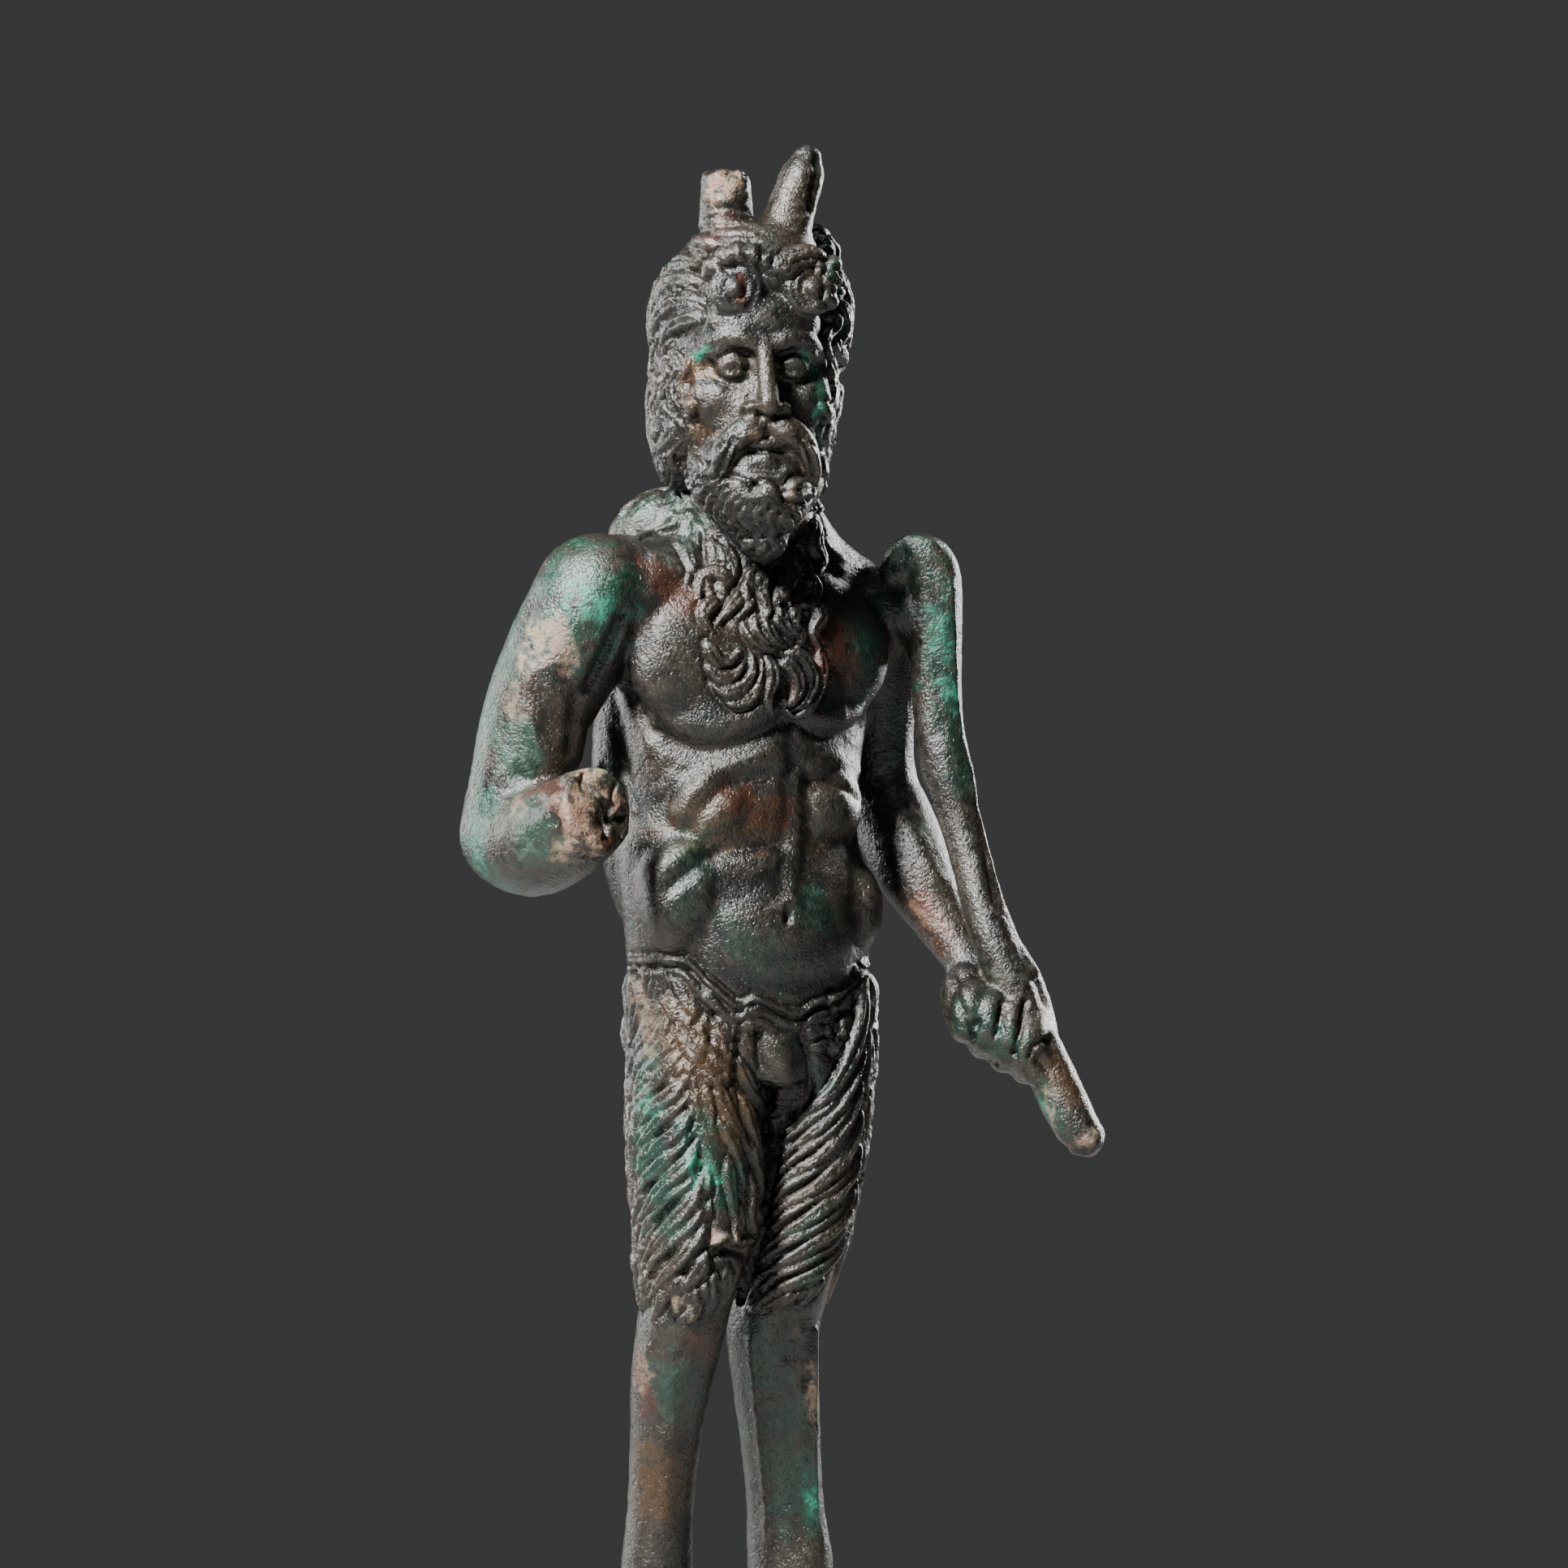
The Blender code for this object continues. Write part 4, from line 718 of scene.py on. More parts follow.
def carveHair(clay):
    axis = figure["headMiddle"][:2]
    for low, high, shift in hair["tiers"]:
        for k in range(hair["strands"]):
            bearing = 66 + 232 * (k + shift) / (hair["strands"] - 0.5)
            lift = chance.normal(0, 0.5)
            strand = [(bearing + wave(z + lift) + chance.normal(0, 0.7), z) for z in np.arange(high, low, -1.55)]
            clay.lock(clay.around(axis, strand), 1.35, 0.95, 2, 0.15)
    for k in range(hair["crownStrands"]):  # over the crown to the back
        angle = math.radians(84 + 192 * k / (hair["crownStrands"] - 1))
        away = np.array([math.sin(angle), -math.cos(angle), 0])
        strand = [np.array(head(0, -1, 0)) + away * (r + 0.3 * (k % 2)) + np.array([0, 0, h])
                  for r, h in ((2.0, 17.4), (4.2, 16.9), (6.4, 15.6), (8.4, 13.4), (9.8, 11.0))]
        clay.lock(clay.onto(strand), 1.5, 0.7, 2, 0.2)
    # what the viewer sees beside the face
    for k, x in enumerate((806, 818, 830, 842)):
        strand = [inPhoto(x + 5.5 * math.sin((y + 9 * k) / 9.2) + 0.06 * (y - 400), y)
                  for y in range(402 + 12 * k, 612, 14)]
        clay.lock(clay.front(strand), 0.85, 0.9, 2, 0.15)
    clay.locks(clay.front, [
        [(-3.9, 177.4), (-6.3, 177.2), (-8.3, 175.4), (-8.9, 173), (-10.1, 171.5)],
        [(-4.3, 179.2), (-6.7, 179.6), (-8.9, 178.2), (-9.7, 175.8), (-9.3, 173.4)],
        [(-4.7, 181.8), (-7.1, 182.2), (-9.1, 180.8), (-10.1, 178.2), (-9.9, 176.2)],
        [(-3.7, 184.4), (-6.1, 184.6), (-8.1, 183.2), (-9.3, 180.8)],
        [(-2.5, 186.2), (-4.7, 186.6), (-6.7, 185.2), (-7.9, 183.2)],
    ], 1.5, 1.0, 3, 0.15)
    clay.locks(clay.front, [
        [(12.5, 170), (11.5, 167.2), (12.5, 165), (11.5, 162.2)],
        [(10.9, 166.5), (11.5, 163.5), (10.5, 160.5), (11.1, 158)],
        [(13.1, 177), (12.1, 174.5), (12.9, 172), (11.7, 169.2)],
        [(13.5, 182.5), (12.5, 179.5), (13.7, 176.8), (12.5, 174)],
        [(11.5, 179.8), (12.3, 177.2), (11.1, 174.5), (11.9, 171.8)],
        [(12.1, 185.8), (11.9, 183.2), (12.9, 180.8), (11.9, 178.5)],
        [(10.3, 188), (11.3, 185.8), (10.5, 183.5), (11.5, 181.2)],
    ], 1.3, 0.95, 2, 0.15)
    # the mass over the brow: strands parted in the middle, following each volute
    for way, across in zip((-1, 1), figure["locksOverBrow"]):
        for radius, first, last, amount in ((3.75, 150, 10, -0.4), (4.9, 128, 20, -0.35), (2.6, 250, -60, -0.28)):
            ring = []
            for angle in np.radians(range(first, last, -18)):
                ring.append(head(across - way * radius * math.cos(angle), 14, 9.8 + radius * math.sin(angle)))
            clay.press(clay.kept([clay.cast(spot, -headFront) for spot in ring]), 0.33, amount)
    for k in range(hair["browStrands"]):
        angle = math.radians(-64 + 128 * k / (hair["browStrands"] - 1))
        reach = 0.5 * (k % 2)
        strand = [(1.9 + (4.6 + far) * math.sin(angle) + 0.2 * (-1) ** k, 181.2 + (3.4 + far) * math.cos(angle))
                  for far in (-0.4 - reach, 0.8, 2.2 + reach)]
        clay.lock(clay.front(strand), 0.85, 0.5, 2)
    clay.locks(clay.front, [
        [(-6.9, 156), (-9.7, 156), (-12.5, 155), (-14.3, 153)],
        [(-6.7, 154.4), (-9.3, 154.2), (-11.7, 153), (-13.5, 151.4)],
        [(-6.7, 152.7), (-8.9, 152.2), (-10.9, 151), (-11.9, 150.2)],
        [(-6.5, 157), (-9, 157), (-11, 156.4)],
    ], 1.2, 0.7, 2)
    for k in range(5):  # hair fallen on the right shoulder
        ahead = [(-3.0 - 1.0 * k, -0.4, 157.5 - 0.6 * k), (-6.0 - 1.2 * k, -1.6, 155.0),
                 (-9.4 - 1.1 * k, -1.8, 152.6 - 0.4 * k), (-12.4 - 0.8 * k, -1.2, 149.6)]
        behind = [(-3.0 - 1.0 * k, 3.6, 157.5 - 0.6 * k), (-6.4 - 1.0 * k, 5.0, 154.0),
                  (-9.0 - 1.0 * k, 6.0, 150.4), (-10.4 - 0.8 * k, 6.0, 146.8)]
        clay.lock(clay.onto(ahead), 1.6, 0.6, 3)
        clay.lock(clay.onto(behind), 1.7, 0.7, 3)


def carveBeard(clay):  # wavy locks fanned out below the lip, outer and lower ones first
    middle = hair["beard"]
    for count, spread, inner, outer in hair["beardLocks"]:
        for k in range(count):
            angle = math.radians(-spread + (2 * spread - 18) * k / (count - 1))
            path = []
            for step in range(7):
                share = inner + (outer - inner) * step / 6
                bent = angle + math.radians(6) * math.sin(share * 11) / (0.5 + share)
                path.append((middle[0] + 8.4 * share * math.sin(bent), middle[1] - 9.4 * share * math.cos(bent)))
            path = clay.front(path)
            jumps = np.flatnonzero(np.abs(np.diff(path[:, 1])) > 2.2)  # where the ray fell on the chest
            path = path[:jumps[0] + 1] if len(jumps) else path
            clay.lock(path, 1.45 if inner > 0.3 else 1.2, 0.95, 2, 0.12)
    for across in (-2.4, -0.8, 0.8, 2.4):
        path = [(across + 0.35 * (-1) ** step, -16.8 - 1.2 * step) for step in range(5)]
        clay.lock(onFace(clay, path), 1.0, 0.7, 2, 0.2)
    for way in (-1, 1):  # moustache ends and sideburns
        path = [(way * a, h) for a, h in ((4.5, -9.4), (5.5, -11.2), (6.0, -13.0), (5.8, -15.0), (5.0, -16.4))]
        clay.lock(onFace(clay, path), 1.2, 0.6, 2, 0.5)
        for k in range(4):
            path = [(way * (8.0 + 0.9 * k + 0.4 * (-1) ** step), -5.5 - 2.2 * step) for step in range(5)]
            clay.lock(onFace(clay, path), 1.1, 0.7, 2, 0.2)
        for k in range(3):
            path = [(way * (0.9 + 0.5 * k), -6.7 - 0.35 * k), (way * (3.0 + 0.3 * k), -7.2 - 0.6 * k),
                    (way * (4.9 + 0.1 * k), -9.6 - 0.5 * k), (way * (5.6 + 0.1 * k), -12.8)]
            clay.press(onFace(clay, path), 0.28, -0.2)


def carveChestFur(clay):
    clay.locks(clay.front, [
        [(-5.9, 153), (-6.3, 150), (-5.3, 147), (-5.9, 144.6)],
        [(-4.7, 151.5), (-5.3, 148), (-3.7, 145.5), (-4.3, 142.8)],
        [(-3.3, 150.5), (-2.1, 147.8), (-3.3, 145), (-2.1, 142.2)],
        [(-1.3, 149.8), (-0.5, 147), (-1.5, 144.2), (-0.3, 141.8)],
        [(10.3, 153), (9.9, 150.2), (10.9, 148), (10.1, 145.8)],
        [(8.5, 151), (7.9, 148), (9.3, 145.8), (8.5, 143.4)],
        [(6.7, 149.8), (7.3, 146.8), (6.1, 144.2), (7.1, 141.8)],
    ], 1.25, 0.75, 3)
    clay.locks(clay.front, [
        [(-1.7, 131.4), (0.3, 130.4), (2.3, 131.4), (3.5, 133.8), (3.3, 135.8)],
        [(-2.7, 133.2), (-1, 131.8), (1.1, 132.4), (2.3, 134.4), (2.1, 136.4)],
        [(-3.2, 135.2), (-1.7, 133.6), (0.1, 133.8), (1.5, 135.4)],
        [(-3.3, 137.8), (-2.3, 135.8), (-0.5, 135.4), (0.9, 136.8)],
        [(10.5, 137), (10.7, 134), (9.7, 130.8), (7.7, 128.6), (6, 129.8)],
        [(6, 136.4), (8.5, 135.8), (9.5, 133.2), (8.5, 130.4), (6.9, 129.4)],
        [(5.5, 135.2), (7.3, 134.4), (7.9, 132.2), (6.9, 130.2), (5.7, 130.8)],
        [(4.3, 135.8), (4.9, 133.4), (4.1, 131), (4.7, 128.6)],
        [(1.3, 139.8), (2.7, 138), (4.5, 137), (5.9, 137)],
        [(2.5, 141), (3.3, 139), (4.5, 137.8), (5.7, 138)],
        [(4.5, 141.4), (4.3, 139.4), (5.3, 137.8), (6.7, 137.2)],
        [(9.5, 142.8), (10.7, 141), (9.7, 139), (10.5, 136.8)],
        [(7.9, 142), (7.1, 140), (8.3, 138.4), (7.7, 136.8)],
        [(6.1, 141.8), (5.7, 140.2), (6.9, 139), (8.1, 139.4)],
        [(2.5, 145.4), (0.7, 143.2), (-0.9, 141.4), (-2.3, 139.6)],
        [(3, 147), (1.7, 144.8), (1.9, 142.4), (0.3, 140.6)],
        [(3.9, 146.6), (3.3, 144), (4.1, 141.8), (2.9, 139.8)],
        [(5.3, 146.6), (6.1, 144.4), (5.1, 142.4), (5.9, 140.6)],
        [(-0.5, 145.2), (-2.3, 146.2), (-4.1, 145.4), (-4.3, 143.4)],
        [(-1.7, 142.8), (-3.1, 142.2), (-3.7, 140.6), (-2.5, 139)],
        [(8.5, 145.8), (9.9, 144.6), (9.5, 142.8), (8.1, 142)],
    ], 1.05, 0.95, 2)


fur = {
    "thighs": (((-4.8, -5.0), 95, 300), ((8.4, 2.0), 66, 265)),  # axis, first and last bearing of the back locks
    "backRows": 7,
    "locksInRow": 9,
    "shake": 0.14,
    "frontRows": (  # seen from the front: first and last lock of each row, how many, width, height
        ([(-3.7, 64), (-4.3, 61.8), (-5.7, 59.8), (-7.5, 58)],
         [(-3.3, 73), (-3.9, 70.8), (-5.3, 69), (-6.3, 67)], 4, 1.2, 0.8),
        ([(-3.7, 68.4), (-4.7, 65.4), (-6.9, 62.8), (-9.1, 59.8), (-10.5, 57)],
         [(-5.9, 84.4), (-8.3, 82.2), (-10.5, 80.4), (-11.9, 78), (-12.9, 75.2)], 9, 1.25, 0.95),
        ([(2.5, 69), (2.9, 66), (2.5, 62.5), (1.3, 59)],
         [(0.1, 87.4), (1.7, 83.4), (3.3, 79.4), (4.7, 75.6)], 5, 1.0, 0.8),
        ([(-0.3, 70), (0.3, 67.4), (-0.1, 65), (-0.9, 62.5)],
         [(-2.1, 84), (-0.5, 81), (1.1, 78), (2.1, 75)], 4, 1.0, 0.55),
        ([(-6.3, 87.8), (-8.7, 85.2), (-10.7, 83.2), (-12.3, 81.2)],
         [(-9.3, 98), (-10.1, 94), (-11.3, 90.5), (-12.5, 87.4)], 5, 1.1, 0.6),
        ([(15.1, 74), (15.5, 69), (14.7, 64.4), (13.3, 59.8)],
         [(16.1, 97.4), (16.8, 92.4), (16.6, 87), (16.5, 81.4)], 5, 1.0, 0.7),
        ([(14.5, 69.2), (13.9, 65.4), (11.7, 62.2), (8.3, 59.8), (4.7, 58), (1.9, 56)],
         [(15.7, 96.4), (15.3, 92), (13.9, 87), (11.5, 83), (8.7, 80.2), (5.5, 77.4)], 13, 1.2, 1.0),
    ),
}


def carveThighs(clay):
    front = clay.front
    for axis, first, last in fur["thighs"]:  # sides and back, lowest row first
        for row in range(fur["backRows"]):
            top = 62 + 5.2 * row
            for k in range(fur["locksInRow"]):
                bearing = first + (last - first) * (k + 0.5 * (row % 2)) / fur["locksInRow"]
                lean = 8 + chance.normal(0, 2)
                path = [(bearing, top + 4), (bearing + lean, top + 0.6), (bearing + lean * 0.3, top - 2.6),
                        (bearing + lean * 1.1, top - 5.6)]
                clay.lock(clay.around(axis, path, 13), 1.9, 0.85, 3)
    clay.locks(front, [  # hem over the shanks
        [(-11.3, 61), (-10.7, 58.5), (-11.3, 55.8)], [(-9.3, 60.2), (-8.9, 57.8), (-9.7, 54.8)],
        [(-7.1, 60.8), (-6.7, 57.8), (-7.5, 55.2)], [(-4.9, 60.4), (-4.7, 57.2), (-5.5, 54.4)],
        [(-2.7, 61), (-2.7, 58), (-3.3, 55.4)], [(-0.7, 61.4), (-0.9, 58.6), (-1.5, 56.6)],
        [(10.5, 61), (9.5, 58.6), (8.1, 56.4)], [(8, 59.8), (6.5, 57.8), (4.5, 55.8)],
        [(5.3, 59), (3.7, 57), (2.1, 55.6)],
    ], 1.4, 0.8, 3)
    for path in (  # under the belly
        [(-7.5, 96.6), (-5.5, 93.8), (-2.9, 91.4), (-0.3, 89.4)],
        [(-5.5, 97.2), (-3.1, 94.6), (-0.5, 92), (1.9, 90)],
        [(-9.1, 95.6), (-7.3, 92.2), (-4.7, 89.4), (-1.9, 87.2)],
        [(-3.7, 96.4), (-1.3, 94), (0.9, 91.8), (2.7, 89.4)],
        [(-5.9, 89), (-3.7, 87.6), (-1.5, 86.4), (0.5, 85)],
        [(-6.7, 90.8), (-5.5, 88), (-3.3, 85.8), (-0.9, 84)],
        [(-4.5, 85), (-3.3, 82), (-2.5, 79)],
        [(-5.9, 85.2), (-4.9, 82), (-4.3, 78.6)],
    ):
        clay.lock(front(shaken(path, 0.12)), 1.1, 0.42, 2)
    for first, last, count, width, high in fur["frontRows"]:
        for k, path in enumerate(between(first, last, count)):
            path = shaken(path, fur["shake"])
            path[1:-1, 0] += 0.25 * (-1) ** k
            clay.lock(front(path), width, high, 2, 0.15)


def carveLegs(clay):
    front, press = clay.front, clay.press
    # the scalloped line where skin turns to fur
    border = [(-12.7, 98.8), (-10.3, 98.8), (-5.9, 98.8), (-3.3, 96.4), (0.3, 93.4), (2.7, 94.2), (5.3, 93.2),
              (8, 92.4), (9.9, 93.6), (12.7, 94.6), (14.9, 96.4), (16.3, 98.4)]
    clay.presses(front, [
        (border, 0.42, 0.6), ([(x, z + 0.8) for x, z in border], 0.5, -0.4),
        ([(x - 0.2, z - 0.85) for x, z in border], 0.35, -0.35),
        ([(x - 0.3, z - 1.5) for x, z in border], 0.4, 0.4),
    ])
    clay.locks(front, [
        [(-4.3, 95.5), (-1.7, 92.8), (0, 90.8)], [(0.7, 92), (3, 92.8), (5.5, 91.8)],
        [(1, 90.8), (3.3, 91.2), (5.3, 90.4)], [(8.7, 90.8), (10.7, 92), (12.9, 92.4)],
        [(8.5, 89.2), (10.3, 90.2), (12.3, 90.2)], [(9.5, 87.8), (11.1, 88.6), (12.5, 88.4)],
    ], 0.9, 0.55, 2)
    clay.dabs([(958, 1284, 1.5, 0.6), (963, 1304, 2.0, 0.9), (967, 1326, 2.1, 1.1), (967, 1342, 1.6, 0.7)])
    clay.presses(front, [
        ([(3, 90.2), (3.3, 86), (4.7, 82), (5.7, 78.6)], 0.7, -0.7),
        ([(8.5, 89.4), (9.5, 86), (8.9, 82), (6.7, 78.4)], 0.7, -0.9), ([(6.7, 81.8), (6.7, 79.8)], 1.3, -1.3),
        ([(5.5, 77.8), (4.5, 72), (3.3, 65), (0.7, 57)], 0.8, -1.2),
        ([(-2.3, 64.4), (-0.9, 65.4), (0.3, 64.4), (1.9, 64.8)], 0.6, 0.8),
        ([(-2.1, 63), (-0.7, 63.8), (1.3, 63)], 0.8, -0.9),
    ])
    # flat planes and edges on the shanks
    clay.presses(front, [
        ([(9.9, 53), (9.8, 43), (10.1, 31)], 0.7, 0.5), ([(2, 52), (3, 41), (4, 27)], 0.8, 0.35),
        ([(6, 53), (6.7, 41), (8, 27)], 2.4, -0.5), ([(-7, 53), (-7.9, 43), (-8.7, 29)], 1.6, 0.3),
    ])
    clay.dabs([(812, 1622, 1.6, 0.5), (846, 1616, 1.4, 0.5), (872, 1640, 1.6, 0.4), (800, 1660, 1.2, 0.35),
               (835, 1668, 1.3, -0.35), (806, 1700, 1.0, -0.3), (815, 1768, 1.6, 0.35), (842, 1776, 1.0, -0.35),
               (800, 1812, 2.2, -0.3), (985, 1640, 1.2, 0.5), (975, 1668, 1.4, -0.4), (996, 1700, 0.9, -0.5),
               (1000, 1760, 0.8, 0.4)])
    for x, y, turn in figure["hooves"]:  # the cleft and the upper rim of each
        left, fore = directions(turn)
        cleft = [Vector((x, y, 0)) + fore * f + up * h for f, h in ((3.0, 7.0), (5.6, 4.0), (7.4, 1.0))]
        press(clay.onto(cleft), 0.5, -0.8)
        for way in (-1, 1):
            rim = [Vector((x, y, 0)) + fore * f + left * (way * a) + up * h
                   for f, a, h in ((4.6, 1.6, 5.4), (2.6, 4.8, 4.8), (-0.6, 4.8, 4.4))]
            press(clay.onto(rim), 0.45, -0.45)


def roughen(clay):  # casting grain and corrosion, uneven over the figure
    for i, spot in enumerate(clay.co):
        clay.relief[i] += sum(high * noise.noise(Vector(spot) * often)
                              for high, often in ((0.07, 0.5), (0.05, 1.1), (0.03, 2.3)))


def carveFigure(faun):
    clay = Brush(faun.data)
    for carve in (carveTorso, carveArms, carveHorns, carveFace, carveHair, carveBeard, carveChestFur, carveThighs,
                  carveLegs, roughen):
        carve(clay)
    clay.raiseRelief()
    print("carved")


def cutSoles(faun):  # level underside where the hooves stand on the plinth
    pick(faun)
    bpy.ops.object.mode_set(mode="EDIT")
    bpy.ops.mesh.select_all(action="SELECT")
    bpy.ops.mesh.bisect(plane_co=(0, 0, 0), plane_no=(0, 0, 1), use_fill=True, clear_inner=True)
    bpy.ops.object.mode_set(mode="OBJECT")


def lighten(faun):  # thins the skin to the number of triangles wanted
    pick(faun)
    triangles = sum(len(face.vertices) - 2 for face in faun.data.polygons)
    bpy.ops.object.modifier_add(type="DECIMATE")
    fewer = faun.modifiers[-1]
    fewer.ratio = figure["faces"] / triangles
    bpy.ops.object.modifier_apply(modifier=fewer.name)
    print("faces", len(faun.data.polygons))


